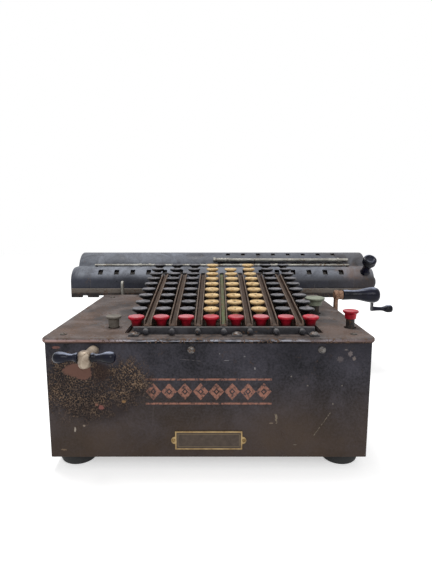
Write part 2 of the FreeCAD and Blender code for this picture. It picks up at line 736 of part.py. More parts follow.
# ---------------------------------------------------------------- inner frame and drive
def make_frame():
    """Side frames with pads for the rail and bearings for the slide rod, tied by rods on the base plate."""
    pad_front = rail_front - 1.5
    pad_back = rail_front + rail_depth + 1.5
    step_y = cover_back - wall - 1.8
    outline = [(frame_front, base_top), (frame_front, key_plate_bottom), (step_y, key_plate_bottom),
               (step_y, frame_rear_top), (pad_front, frame_rear_top), (pad_front, rail_bottom - slip),
               (pad_back, rail_bottom - slip), (pad_back, frame_rear_top), (frame_back, frame_rear_top),
               (frame_back, base_top)]
    low = base_top + 10
    places = [(frame_front + 10, low), (frame_front + 10, guide_plate_bottom - 10),
              (frame_back - 16.5, low), (frame_back - 12.5, frame_rear_top - bearing_root - 10)]
    frames = []
    for x, bearing_x in ((frame_left_x, frame_left_x), (frame_right_inner, frame_right_x - bearing_width)):
        bearing_end = bearing_x + bearing_width
        points = [Vector(x, y, z) for y, z in outline]
        plate = Part.Face(Part.makePolygon(points + [points[0]])).extrude(Vector(frame_thickness, 0, 0))
        post = block(bearing_x, bearing_end, slide_rod_y - bearing_post / 2, slide_rod_y + bearing_post / 2,
                     frame_rear_top - bearing_root, slide_rod_z)
        eye = rod_x(bearing_x, bearing_end, slide_rod_y, slide_rod_z, slide_rod_radius + bearing_wall)
        plate = fused([plate, post, eye])
        plate = plate.cut(rod_x(bearing_x - 1, bearing_end + 1, slide_rod_y, slide_rod_z,
                                slide_rod_radius + running))
        plate = plate.cut(rod_x(x - 1, x + 5, drum_y, drum_z, drum_shaft_radius + running))
        plate = plate.cut(rod_x(x - 1, x + 5, transfer_y, transfer_z, transfer_shaft_radius))
        for y, z in places:
            plate = plate.cut(rod_x(x - 1, x + 5, y, z, tie_radius))
        if x > 0:
            plate = plate.cut(rod_x(x - 1, x + 5, crank_y, crank_z, crank_shaft_radius + running))
        else:
            plate = plate.cut(rod_x(x - 1, x + 5, catch_y, catch_z, catch_pin))
        frames.append(plate)
    save("side_frames", frames)
    left = frame_left_x - tie_overhang
    right = frame_right_x + tie_overhang
    ties = [rod_x(left, right, y, z, tie_radius) for y, z in places]
    ties.append(rod_x(left, right, transfer_y, transfer_z, transfer_shaft_radius))
    ties.append(rod_x(frame_left_x - 6.6, frame_left_inner, catch_y, catch_z, catch_pin))
    save("frame_rods", ties)


def make_drums():
    """Shaft across the machine with a stepped drum for each key column, driven by the crank's gear."""
    towards = math.atan2(drum_z - crank_z, drum_y - crank_y)
    shaft = rod_x(frame_left_x - 2, gear_x + gear_width, drum_y, drum_z, drum_shaft_radius)
    driven = gear(gear_x, gear_width, drum_y, drum_z, crank_teeth, drum_shaft_radius,
                  towards + math.pi + math.pi / crank_teeth, crank_module)
    save("drum_shaft", [shaft, driven])
    drums = []
    step = 360 / drum_steps
    for column in range(1, columns + 1):
        left = column_x(column) - 8.0
        drum = rod_x(left, left + drum_width, drum_y, drum_z, drum_core)
        bars = []
        for tooth in range(drum_teeth):
            length = min(drum_width, drum_width * (tooth + 1) / 5)
            bar = block(left, left + length, -1.15, 1.15, drum_core - 1, drum_tip)
            bar.rotate(Vector(0, 0, 0), Vector(1, 0, 0), 100 - step * (tooth - drum_teeth / 2))
            bars.append(bar.translated(Vector(0, drum_y, drum_z)))
        drum = fused([drum] + bars)
        drums.append(drum.cut(rod_x(left - 1, left + drum_width + 1, drum_y, drum_z, drum_shaft_radius)))
    save("stepped_drums", drums)


def make_crank():
    """Main crank: shaft with its gear, arm with a ferrule, and a grip that spins on the arm's spindle."""
    top = crank_z + crank_radius
    shaft = rod_x(frame_right_inner - 2, arm_x, crank_y, crank_z, crank_shaft_radius)
    driver = gear(gear_x, gear_width, crank_y, crank_z, crank_teeth, crank_shaft_radius,
                  math.atan2(drum_z - crank_z, drum_y - crank_y), crank_module)
    arm_end = arm_x + arm_thickness
    hub = rod_x(arm_x, arm_end, crank_y, crank_z, crank_hub_radius)
    points = [(crank_y - 6.0, crank_z), (crank_y - 2.8, top), (crank_y + 2.8, top), (crank_y + 6.0, crank_z)]
    points = [Vector(arm_x, y, z) for y, z in points]
    blade = Part.Face(Part.makePolygon(points + [points[0]])).extrude(Vector(arm_thickness, 0, 0))
    boss = turned([(-0.6, 3.8), (0.4, 4.7), (3.2, 4.7), (4.2, 4.2), (7.2, 4.5), (7.8, 4.3)],
                  (arm_x, crank_y, top), (1, 0, 0))
    start = arm_x + 8.1
    spindle_end = start + crank_grip_length - 4.0
    spindle = rod_x(arm_end, spindle_end, crank_y, top, crank_spindle)
    screw = turned([(0, 4.2), (1.2, 4.0), (2.0, 2.6)], (arm_end, crank_y, crank_z), (1, 0, 0))
    arm = fused([hub, blade, boss, spindle, screw])
    save("main_crank", [arm, shaft, driver])
    shape = [(0, 4.6), (0.02, 4.9), (0.12, 4.8), (0.24, 4.6), (0.36, 4.8), (0.47, 5.4), (0.58, 6.3),
             (0.69, 7.1), (0.79, 7.6), (0.87, 7.5), (0.94, 6.6), (0.98, 5.0), (1.0, 2.8)]
    profile = [(crank_grip_length * along, radius) for along, radius in shape]
    grip = turned(profile, (start, crank_y, top), (1, 0, 0))
    grip = grip.cut(rod_x(start - 1, spindle_end + slip, crank_y, top, crank_spindle + running))
    save("crank_grip", [grip])


def make_catch():
    """Lever in the gap in front of the carriage; its tip stands above the cover."""
    x = frame_left_x - 6.0
    side = x + catch_thickness
    top = cover_top + catch_rise
    blade = block(x, side, catch_y - 3.0, catch_y + 3.0, catch_z, top)
    tip = rod_x(x, side, catch_y, top, 3.0)
    eye = rod_x(x, side, catch_y, catch_z, 5.0)
    lever = fused([blade, tip, eye]).cut(rod_x(x - 1, side + 1, catch_y, catch_z, catch_pin + running))
    save("catch_lever", [lever])


def make_shift():
    """T-handle and shaft. The pin of the shaft's rear disc moves the carriage a place for each turn."""
    disc_back = rail_front - 0.8
    disc_front = disc_back - shift_disc
    shaft = rod_y(-handle_reach, disc_front, shift_x_pos, shift_z, shift_shaft_radius)
    disc = rod_y(disc_front, disc_back, shift_x_pos, shift_z, shift_pin_circle + shift_pin_radius + 0.6)
    pin = rod_y(disc_back, rail_front + rail_depth - 0.4, shift_x_pos, shift_z - shift_pin_circle,
                shift_pin_radius)
    collar = rod_y(wall + 0.3, wall + 4.3, shift_x_pos, shift_z, 4.2)
    save("shift_shaft", [fused([shaft, disc, pin, collar])])
    y = -handle_reach
    hub = turned([(-5.2, 2.6), (-4.2, 3.9), (-1.2, handle_hub_radius), (2.6, handle_hub_radius), (5.4, 3.8),
                  (6.4, 2.6)], (shift_x_pos, y, shift_z), (0, 0, 1))
    neck = rod_y(y, -handle_neck_gap, shift_x_pos, shift_z, handle_neck_radius)
    hub = fused([hub, neck]).cut(rod_y(y - 0.01, 0, shift_x_pos, shift_z, shift_shaft_radius))
    grips = []
    for side in (-1, 1):
        profile = [(0, 2.0), (4.6, 2.0), (4.6, 3.0), (5.6, 3.2), (8.0, 2.4), (10.5, 2.5), (14.0, 3.6),
                   (17.0, 3.9), (19.4, 3.3), (handle_half, 1.4)]
        grip = turned(profile, (shift_x_pos, y, shift_z + handle_rise), (side, 0, 0))
        grips.append(grip)
    both = grips[0].fuse(grips[1]).removeSplitter()
    both = both.cut(rod_y(y, 0, shift_x_pos, shift_z, shift_shaft_radius))
    hub = hub.cut(both)
    save("shift_handle", [hub, both])


# ---------------------------------------------------------------- carriage
def outer_profile(grow, bridged):
    """Closed outline of the carriage seen from its end, moved outwards by grow (inwards if negative)."""
    roll = roll_radius + grow
    hood = hood_radius + grow
    front_low = Vector(0, roll_y - roll, carriage_bottom)
    front = Vector(0, roll_y - roll, roll_z)
    level = math.degrees(math.acos((roll_z + roll - hood_z) / hood))
    leave, meet = (0.0, level) if bridged else (-24.0, 68.0)
    back_angle = -math.degrees(math.asin((carriage_back - hood_y + grow) / hood))

    def on(y, z, radius, degrees):
        py, pz = arc_point(y, z, radius, degrees)
        return Vector(0, py, pz)

    roll_end = on(roll_y, roll_z, roll, leave)
    hood_start = on(hood_y, hood_z, hood, meet)
    hood_end = on(hood_y, hood_z, hood, back_angle)
    back_low = Vector(0, hood_end.y, carriage_bottom)
    edges = [
        Part.LineSegment(front_low, front).toShape(),
        Part.Arc(front, on(roll_y, roll_z, roll, 45), roll_end).toShape(),
    ]
    if bridged:
        edges.append(Part.LineSegment(roll_end, hood_start).toShape())
    else:
        low = Vector(0, (roll_end.y + hood_start.y) / 2, min(roll_end.z, hood_start.z) - 1.4)
        edges.append(Part.Arc(roll_end, low, hood_start).toShape())
    edges += [
        Part.Arc(hood_start, on(hood_y, hood_z, hood, 10), hood_end).toShape(),
        Part.LineSegment(hood_end, back_low).toShape(),
        Part.LineSegment(back_low, front_low).toShape(),
    ]
    return Part.Face(Part.Wire(edges))


def prism(face, x0, x1):
    """A profile in the y-z plane extruded between x0 and x1."""
    return face.translated(Vector(x0, 0, 0)).extrude(Vector(x1 - x0, 0, 0))


def window(x, y, z, radius, degrees, width, height):
    """Cutter for one dial window, square to the curved cover."""
    cutter = block(-width / 2, width / 2, -height / 2, height / 2, -sheet - 3, 3)
    cutter.rotate(Vector(0, 0, 0), Vector(1, 0, 0), degrees)
    py, pz = arc_point(y, z, radius, degrees)
    return cutter.translated(Vector(x, py, pz))


def make_carriage():
    """Sheet cover with its windows, end castings, notched rail, marker rods, knob and sliding rod."""
    cover = prism(outer_profile(0, False), cover_left, cover_right)
    hollow = outer_profile(-sheet, False)
    below = block(cover_left - 1, cover_right + 1, roll_y - roll_radius + sheet, carriage_back - sheet,
                  carriage_bottom - 5, carriage_bottom + 0.01)
    cover = cover.cut(prism(hollow, cover_left - 1, cover_right + 1)).cut(below)
    cutters = []
    for dial in range(dials):
        cutters.append(window(dial_x(dial), roll_y, roll_z, roll_radius, lower_window_angle,
                              lower_window_width, lower_window_height))
        if dial >= dials - columns:
            cutters.append(window(dial_x(dial), hood_y, hood_z, hood_radius, upper_window_angle,
                                  upper_window_width, upper_window_height))
    slot = block(upper_rod_start() + 3, cover_right - 4, -slot_width / 2, slot_width / 2, -sheet - 1, 2)
    slot.rotate(Vector(0, 0, 0), Vector(1, 0, 0), slot_angle)
    sy, sz = arc_point(hood_y, hood_z, hood_radius, slot_angle)
    cutters.append(slot.translated(Vector(0, sy, sz)))
    cover = cover.cut(Part.makeCompound(cutters))
    save("carriage_cover", [cover])

    ends = []
    for x0, x1, side in ((carriage_left, cover_left, -1), (cover_right, carriage_right, 1)):
        casting = prism(outer_profile(0, True), x0, x1)
        outer = x0 if side < 0 else x1
        casting = rounded(casting, 1.6, lambda e: abs(e.CenterOfMass.x - outer) < 0.01
                          and e.CenterOfMass.z > carriage_bottom + 1)
        pocket0, pocket1 = (x0 + casting_web, x1 + 1) if side < 0 else (x0 - 1, x1 - casting_web)
        pocket = prism(outer_profile(-casting_wall, True), pocket0, pocket1)
        under = block(pocket0, pocket1, roll_y - roll_radius + casting_wall, carriage_back - casting_wall,
                      carriage_bottom - 5, carriage_bottom + 0.01)
        casting = casting.cut(pocket).cut(under)
        for y, z, radius in ((roll_y, roll_z, dial_shaft_radius + running),
                             (upper_dial_y, upper_dial_z, dial_shaft_radius),
                             (slide_rod_y, slide_rod_z, slide_rod_radius + running)):
            casting = casting.cut(rod_x(x0 - 1, x1 + 1, y, z, radius))
        casting = casting.cut(Part.makeCompound(marker_rods(running / 2)))
        ends.append(casting)
    knob_y, knob_z = arc_point(roll_y, roll_z, roll_radius, knob_angle)
    lean = math.radians(knob_angle)
    seat = (carriage_right - knob_inset, knob_y, knob_z)
    ends[1] = ends[1].cut(turned([(-4, 2.0), (1, 2.0)], seat, (0, -math.sin(lean), math.cos(lean))))
    save("carriage_ends", ends)

    knob = turned([(-2.4, 2.0), (0.3, 2.0), (0.3, 5.6), (1.4, 5.4), (2.4, 4.8), (10.0, 4.8), (13.0, 5.4),
                   (15.5, 6.9), (17.0, 7.5), (22.2, 7.5), (23.4, 7.0), (23.8, 6.0)],
                  seat, (0, -math.sin(lean), math.cos(lean)))
    save("carriage_knob", [knob])

    rail = block(carriage_left + rail_inset, carriage_right - rail_inset, rail_front, rail_front + rail_depth,
                 rail_bottom, rail_top)
    cuts = []
    for step in range(notches):
        x = shift_x_pos + (step - steps_right - 0.5) * pitch
        cuts.append(rod_y(rail_front - 1, rail_front + rail_depth + 1, x, shift_z + shift_pin_circle,
                          notch_radius))
    rail = rail.cut(Part.makeCompound(cuts))
    save("shift_rail", [rail])

    save("marker_rods", marker_rods(0) + [marker_bracket()])
    lower = [rider(first_dial_x + along, lower_marker(), lower_marker_radius)
             for along in lower_marker_places]
    save("lower_markers", lower)
    start = upper_rod_start()
    upper = [rider(start + along, upper_marker(), upper_marker_radius) for along in upper_marker_places]
    save("upper_markers", upper)

    slide_rod = rod_x(carriage_left + 0.4, carriage_right - 0.4, slide_rod_y, slide_rod_z, slide_rod_radius)
    save("slide_rod", [slide_rod])
    upper_shaft = rod_x(carriage_left + 0.2, carriage_right - 0.2, upper_dial_y, upper_dial_z,
                        dial_shaft_radius)
    save("upper_dial_shaft", [upper_shaft])


def lower_marker():
    """Axis of the rod in the groove between the two rows of windows."""
    return (roll_y + marker_back, roll_z + roll_radius + lower_marker_radius + marker_gap)


def upper_marker():
    """Axis of the rod below the upper windows."""
    return arc_point(hood_y, hood_z, hood_radius + upper_marker_radius + 0.7, marker_angle)


def upper_rod_start():
    """Left end of the upper marker rod, before the first of the upper dials."""
    return last_dial_x - (columns - 1) * pitch - 15.725


def marker_rods(clearance):
    """The two rods, each let into an end casting, or their holes if a clearance is given."""
    ly, lz = lower_marker()
    uy, uz = upper_marker()
    lower = rod_x(cover_left - 2.0, cover_right + 2.0, ly, lz, lower_marker_radius + clearance)
    upper = rod_x(upper_rod_start(), cover_right + 2.0, uy, uz, upper_marker_radius + clearance)
    return [lower, upper]


def marker_bracket():
    """Small post that carries the left end of the upper marker rod."""
    uy, uz = upper_marker()
    post = block(-1.3, 1.3, -2.2, 2.2, -4.0, 2.4)
    post.rotate(Vector(0, 0, 0), Vector(1, 0, 0), marker_angle)
    x = upper_rod_start() - 1.6
    post = post.translated(Vector(x, uy, uz))
    post = post.cut(prism(outer_profile(0, False), x - 5, x + 5))
    return post


def rider(x, axis, bore):
    """Sliding decimal pointer: a sleeve on a marker rod with a short tail towards the windows."""
    y, z = axis
    half = rider_length / 2
    sleeve = rod_x(x - half, x + half, y, z, bore + rider_wall)
    tail = block(x - 0.9, x + 0.9, y - bore - 3.0, y - bore, z + 0.1, z + 1.0)
    return fused([sleeve, tail]).cut(rod_x(x - half - 1, x + half + 1, y, z, bore + running))


def make_dials():
    """Lower dials with their gears on the clearing crank's shaft, the upper dials and the transfer gears."""
    down = -math.pi / 2
    lower = []
    for dial in range(dials):
        x = dial_x(dial)
        side = x + gear_offset - 1.5
        drum = rod_x(side - dial_width, side, roll_y, roll_z, dial_radius)
        hub = rod_x(side, x + gear_offset, roll_y, roll_z, dial_hub)
        wheel = gear(x + gear_offset, gear_slab, roll_y, roll_z, dial_teeth,
                     dial_shaft_radius + running, down, gear_module)
        bore = rod_x(x - dial_width, x + dial_width, roll_y, roll_z, dial_shaft_radius + running)
        lower.append(drum.fuse(hub).cut(bore).fuse(wheel).removeSplitter())
    save("lower_dials", lower)
    upper = []
    for dial in range(dials - columns, dials):
        x = dial_x(dial)
        side = x + gear_offset - 1.5
        drum = rod_x(side - dial_width, side, upper_dial_y, upper_dial_z, upper_dial_radius)
        hub = rod_x(side, side + 4.5, upper_dial_y, upper_dial_z, dial_hub)
        bore = rod_x(x - dial_width, x + dial_width + 1, upper_dial_y, upper_dial_z,
                     dial_shaft_radius + running)
        upper.append(fused([drum, hub]).cut(bore))
    save("upper_dials", upper)
    gears = []
    for column in range(1, columns + 1):
        x = column_x(column) + gear_offset
        gears.append(gear(x, gear_slab, transfer_y, transfer_z, transfer_teeth,
                          transfer_shaft_radius + running, math.pi / 2 + math.pi / transfer_teeth,
                          gear_module))
    save("transfer_gears", gears)


def make_clear_crank():
    """Small crank on the carriage's right end: the lower dial shaft, an arm that hangs down and a grip."""
    low = roll_z - clear_radius
    shaft = rod_x(carriage_left + 0.5, clear_arm_x, roll_y, roll_z, dial_shaft_radius)
    collar = rod_x(carriage_right + 0.3, clear_arm_x, roll_y, roll_z, 6.0)
    arm_end = clear_arm_x + clear_arm_thickness
    eye = rod_x(clear_arm_x, arm_end, roll_y, roll_z, 5.6)
    blade = block(clear_arm_x, arm_end, roll_y - 2.6, roll_y + 2.6, low, roll_z)
    foot = rod_x(clear_arm_x, arm_end, roll_y, low, 2.9)
    spindle_end = arm_end + clear_grip_length - 3
    spindle = rod_x(arm_end, spindle_end, roll_y, low, clear_spindle)
    save("clear_crank", [fused([shaft, collar, eye, blade, foot, spindle])])
    start = arm_end + slip
    shape = [(0, 2.5), (0.03, 2.8), (0.2, 2.5), (0.42, 2.4), (0.54, 2.9), (0.64, 3.9), (0.75, 4.6),
             (0.88, 4.6), (0.96, 3.9), (1.0, 2.6)]
    profile = [(clear_grip_length * along, radius) for along, radius in shape]
    grip = turned(profile, (start, roll_y, low), (1, 0, 0))
    grip = grip.cut(rod_x(start - 1, spindle_end + slip, roll_y, low, clear_spindle + running))
    save("clear_grip", [grip])


def build():
    os.makedirs("parts", exist_ok=True)
    make_casing()
    make_screws()
    make_key_plates()
    make_keys()
    make_function_keys()
    make_sections()
    make_decimal_rods()
    make_frame()
    make_drums()
    make_crank()
    make_catch()
    make_shift()
    make_carriage()
    make_dials()
    make_clear_crank()
    print(len(made), "nodes,", sum(len(s) for s in made.values()), "solids")


build()
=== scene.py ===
import json
import math
import bmesh
import bpy
from mathutils import Matrix, Vector

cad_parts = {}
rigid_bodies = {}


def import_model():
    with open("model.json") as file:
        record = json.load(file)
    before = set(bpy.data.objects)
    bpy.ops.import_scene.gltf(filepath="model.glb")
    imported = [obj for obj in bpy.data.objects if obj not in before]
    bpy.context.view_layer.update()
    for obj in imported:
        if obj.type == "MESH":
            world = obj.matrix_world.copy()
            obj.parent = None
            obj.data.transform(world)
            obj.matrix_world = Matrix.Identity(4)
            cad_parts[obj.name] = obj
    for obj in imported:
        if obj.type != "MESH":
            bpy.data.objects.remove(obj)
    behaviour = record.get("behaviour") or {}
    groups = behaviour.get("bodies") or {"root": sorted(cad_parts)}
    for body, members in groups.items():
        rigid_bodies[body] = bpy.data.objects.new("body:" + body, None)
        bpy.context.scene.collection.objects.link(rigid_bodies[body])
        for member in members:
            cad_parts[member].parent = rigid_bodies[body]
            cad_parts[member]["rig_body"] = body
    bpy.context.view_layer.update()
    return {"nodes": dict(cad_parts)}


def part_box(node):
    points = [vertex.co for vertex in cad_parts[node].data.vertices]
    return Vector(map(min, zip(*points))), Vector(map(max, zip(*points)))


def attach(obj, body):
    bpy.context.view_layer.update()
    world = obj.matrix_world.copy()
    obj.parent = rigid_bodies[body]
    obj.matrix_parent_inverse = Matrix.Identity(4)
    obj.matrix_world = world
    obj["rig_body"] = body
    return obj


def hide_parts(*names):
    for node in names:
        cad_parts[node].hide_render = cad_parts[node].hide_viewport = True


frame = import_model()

scene = bpy.context.scene
nodes = frame["nodes"]
mm = 0.001
panelLow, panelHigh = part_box("front_panel")
casingX = (panelLow.x + panelHigh.x) / 2
casingY = panelLow.y
print("frame loaded:", len(nodes), "nodes")


def at(x, y, z):
    # millimetres from the casing's middle, its front and the table
    return Vector((casingX + x * mm, casingY + y * mm, z * mm))


def shade(red, green, blue):
    # a colour written 0 to 255
    linear = [c / 255 / 12.92 if c < 11 else ((c / 255 + 0.055) / 1.055) ** 2.4 for c in (red, green, blue)]
    return (*linear, 1.0)


# ---- node helpers; they work on the tree that was started last
work = {}


class Value:
    # an output of a node: arithmetic adds the math nodes, brackets take another output of the same node
    def __init__(self, socket):
        self.socket = socket

    def __getitem__(self, name):
        return Value(self.socket.node.outputs[name])

    def __add__(self, other):
        return mathNode("ADD", self, other)

    def __radd__(self, other):
        return mathNode("ADD", other, self)

    def __sub__(self, other):
        return mathNode("SUBTRACT", self, other)

    def __rsub__(self, other):
        return mathNode("SUBTRACT", other, self)

    def __mul__(self, other):
        return mathNode("MULTIPLY", self, other)

    def __rmul__(self, other):
        return mathNode("MULTIPLY", other, self)

    def __truediv__(self, other):
        return mathNode("DIVIDE", self, other)

    def __abs__(self):
        return mathNode("ABSOLUTE", self)

    def clamped(self):
        self.socket.node.use_clamp = True
        return self


def feed(target, value):
    if isinstance(value, Value):
        work["tree"].links.new(value.socket, target)
    else:
        target.default_value = value


def addNode(kind, inputs=None, **settings):
    made = work["tree"].nodes.new(kind)
    for name, value in settings.items():
        setattr(made, name, value)
    for key, value in (inputs or {}).items():
        feed(made.inputs[key], value)
    return Value(made.outputs[0])


def mathNode(operation, a, b=0.0):
    return addNode("ShaderNodeMath", {0: a, 1: b}, operation=operation)


def vectorNode(operation, a, b=(0.0, 0.0, 0.0)):
    made = addNode("ShaderNodeVectorMath", {0: a, 1: b}, operation=operation)
    return made["Value" if operation in ("LENGTH", "DOT_PRODUCT") else "Vector"]


def stepNode(value, low, high):
    # 0 below low, 1 above high, smooth between; low may be the larger one
    return addNode("ShaderNodeMapRange", {"Value": value, "From Min": low, "From Max": high},
                   interpolation_type="SMOOTHSTEP")


def stepAcross(value, ends):
    # the same between two places in millimetres
    return stepNode(value, ends[0] * mm, ends[1] * mm)


def mixNode(share, a, b):
    # colours are nodes' outputs, or written 0 to 255
    a, b = (color if isinstance(color, Value) else shade(*color) for color in (a, b))
    return addNode("ShaderNodeMix", {0: share, 6: a, 7: b}, data_type="RGBA")[2]


def noiseNode(vector, scale, detail=5.0, rough=0.6, distortion=0.0):
    return addNode("ShaderNodeTexNoise", {"Vector": vector, "Scale": scale, "Detail": detail,
                                          "Roughness": rough, "Distortion": distortion})


def objectPlace():
    return addNode("ShaderNodeTexCoord")["Object"]


def objectAxes():
    return addNode("ShaderNodeSeparateXYZ", {0: objectPlace()})


def spotsNode(scale, detail, rough, low, high):
    # ragged spots: 0 where the noise is below low, 1 where it is above high
    return stepNode(noiseNode(objectPlace(), scale, detail, rough), low, high)


def newTree(name, inputs, outputs=None):
    # a shader group with the outputs named, or without them a tree that makes geometry
    tree = bpy.data.node_groups.new(name, "ShaderNodeTree" if outputs else "GeometryNodeTree")
    if not outputs:
        inputs = {"Geometry": "Geometry", **inputs}
    for label, value in inputs.items():
        # a word names the kind of an input that has no value of its own
        kind = value if isinstance(value, str) else {int: "Int", float: "Float"}.get(type(value), "Vector")
        made = tree.interface.new_socket(label, in_out="INPUT", socket_type="NodeSocket" + kind)
        if kind != value:
            made.default_value = value
    for label in outputs or ["Geometry"]:
        tree.interface.new_socket(label, in_out="OUTPUT",
                                  socket_type="NodeSocketFloat" if outputs else "NodeSocketGeometry")
    work["tree"] = tree
    given = Value(tree.nodes.new("NodeGroupInput").outputs[0])
    return tree, given, tree.nodes.new("NodeGroupOutput").inputs


def useGroup(group, **values):
    return addNode("ShaderNodeGroup", values, node_tree=group)


# ---- effects that the finishes share
def makeTone():
    # slow clouds and fine grain of an old surface
    tree, given, result = newTree("surfaceTone", {"cloudScale": 14.0,
                                                  "grainScale": 420.0}, ["clouds", "grain"])
    place = objectPlace()
    clouds = noiseNode(place, given["cloudScale"], 6.0, 0.62, 0.6)
    grain = noiseNode(place, given["grainScale"], 3.0, 0.7)
    feed(result["clouds"], stepNode(clouds, 0.32, 0.68))
    feed(result["grain"], stepNode(grain, 0.3, 0.7))
    return tree


def makeEdgeWear():
    # bare edges, broken up so that the line is never even
    tree, given, result = newTree("edgeWear", {"radius": 0.0008, "amount": 1.0,
                                               "breakScale": 160.0}, ["mask"])
    soft = addNode("ShaderNodeBevel", {"Radius": given["radius"]}, samples=4)["Normal"]
    hard = addNode("ShaderNodeNewGeometry")["Normal"]
    turn = 1.0 - vectorNode("DOT_PRODUCT", soft, hard)
    broken = spotsNode(given["breakScale"], 4.0, 0.7, 0.35, 0.65)
    edge = stepNode(turn, 0.02, 0.22) * broken
    feed(result["mask"], (edge * given["amount"]).clamped())
    return tree


def makeDust():
    # dust lies on what faces up, thicker in some places; where a finish gives it a light colour on dark
    # gloss, the same mask is a painted highlight on the upper faces
    tree, given, result = newTree("settledDustAndSheen", {"amount": 0.5, "patchScale": 30.0, "tilt": 0.35,
                                                  "full": 1.0}, ["mask"])
    upward = addNode("ShaderNodeSeparateXYZ", {0: addNode("ShaderNodeTexCoord")["Normal"]})["Z"]
    place = objectPlace()
    facingUp = stepNode(upward, given["tilt"], given["full"])
    patches = stepNode(noiseNode(place, given["patchScale"], 8.0, 0.7, 0.8), 0.25, 0.7)
    specks = noiseNode(place, 1500.0, 2.0, 0.8)
    spread = patches * (specks + 0.45)
    feed(result["mask"], (facingUp * spread * given["amount"]).clamped())
    return tree


def makeRustNet():
    # a net of rust creeping under the paint, with a tone from dark to ochre
    tree, given, result = newTree("rustNet", {"netScale": 260.0, "cover": 0.5}, ["mask", "tone"])
    place = objectPlace()
    pull = addNode("ShaderNodeTexNoise", {"Vector": place, "Scale": 150.0, "Detail": 4.0})["Color"]
    bent = vectorNode("ADD", place, vectorNode("MULTIPLY", pull, (0.006, 0.006, 0.006)))
    cells = addNode("ShaderNodeTexVoronoi", {"Vector": bent, "Scale": given["netScale"]},
                    feature="DISTANCE_TO_EDGE")["Distance"]
    net = stepNode(cells, 0.16, 0.02)
    blots = noiseNode(bent, given["netScale"] * 0.3, 5.0, 0.7)
    share = net * 0.5 + blots
    limit = 1.15 - given["cover"] * 0.75
    feed(result["mask"], stepNode(share, limit, limit + 0.14))
    feed(result["tone"], noiseNode(place, 55.0, 5.0, 0.7))
    return tree


def makePatch():
    # one ragged spot: a chip, a rubbed place or the reach of the rust
    tree, given, result = newTree("raggedPatch", {"centre": (0.0, 0.0, 0.0), "half": (0.01, 0.01, 0.01),
                                                  "ragged": 0.4, "raggedScale": 300.0,
                                                  "soft": 0.2}, ["mask"])
    place = objectPlace()
    away = vectorNode("DIVIDE", vectorNode("SUBTRACT", place, given["centre"]), given["half"])
    ripple = (noiseNode(place, given["raggedScale"], 4.0, 0.65) - 0.5) * given["ragged"]
    reach = vectorNode("LENGTH", away) + ripple * 4.0
    feed(result["mask"], stepNode(reach, given["soft"] + 1.0, 1.0 - given["soft"]))
    return tree


def makeScratches():
    # fine straight marks in three directions
    tree, given, result = newTree("fineScratches", {"markScale": 30.0, "amount": 0.5}, ["mask"])
    place = objectPlace()
    marks = None
    for turn, stretch in ((0.5, (1.0, 1.0, 9.0)), (-1.1, (10.0, 1.0, 1.0)), (0.2, (1.0, 12.0, 1.0))):
        turned = addNode("ShaderNodeMapping", {"Vector": place, "Rotation": (turn, turn * 0.7, turn),
                                               "Scale": stretch})
        line = stepNode(noiseNode(turned, given["markScale"], 2.0, 0.5, 0.3), 0.735, 0.76)
        marks = line if marks is None else mathNode("MAXIMUM", marks, line)
    feed(result["mask"], (marks * given["amount"]).clamped())
    return tree


toneGroup = makeTone()
edgeGroup = makeEdgeWear()
dustAndSheenGroup = makeDust()
rustGroup = makeRustNet()
patchGroup = makePatch()
scratchGroup = makeScratches()


def spotMask(centre, half, ragged, raggedScale, soft):
    return useGroup(patchGroup, centre=centre[:], half=half, ragged=ragged, raggedScale=raggedScale,
                    soft=soft)["mask"]


# what a finish takes when it doesn't say otherwise; colours are written 0 to 255
plainLook = {
    "dark": (40, 40, 44), "pale": (60, 59, 62), "cloudScale": 14.0, "grainScale": 420.0,
    "grainDepth": 0.25, "rough": (0.42, 0.62), "metal": 0.0, "specular": 0.22,
    "rust": 0.0, "rustDark": (66, 46, 36), "rustPale": (128, 94, 62), "netScale": 260.0,
    "edge": 0.0, "edgeColor": (128, 104, 86), "edgeRadius": 0.0008, "edgeMetal": 0.3,
    "dust": 0.0, "dustColor": (140, 130, 120), "dustScale": 30.0, "dustTilt": 0.35,
    "dustFull": 1.0, "scratch": 0.0, "scratchColor": (120, 112, 104), "bump": 0.12,
}
finishes = {}


def startMaterial(name):
    made = bpy.data.materials.new(name)
    made.use_nodes = True
    work["tree"] = made.node_tree
    return made, made.node_tree.nodes["Principled BSDF"]


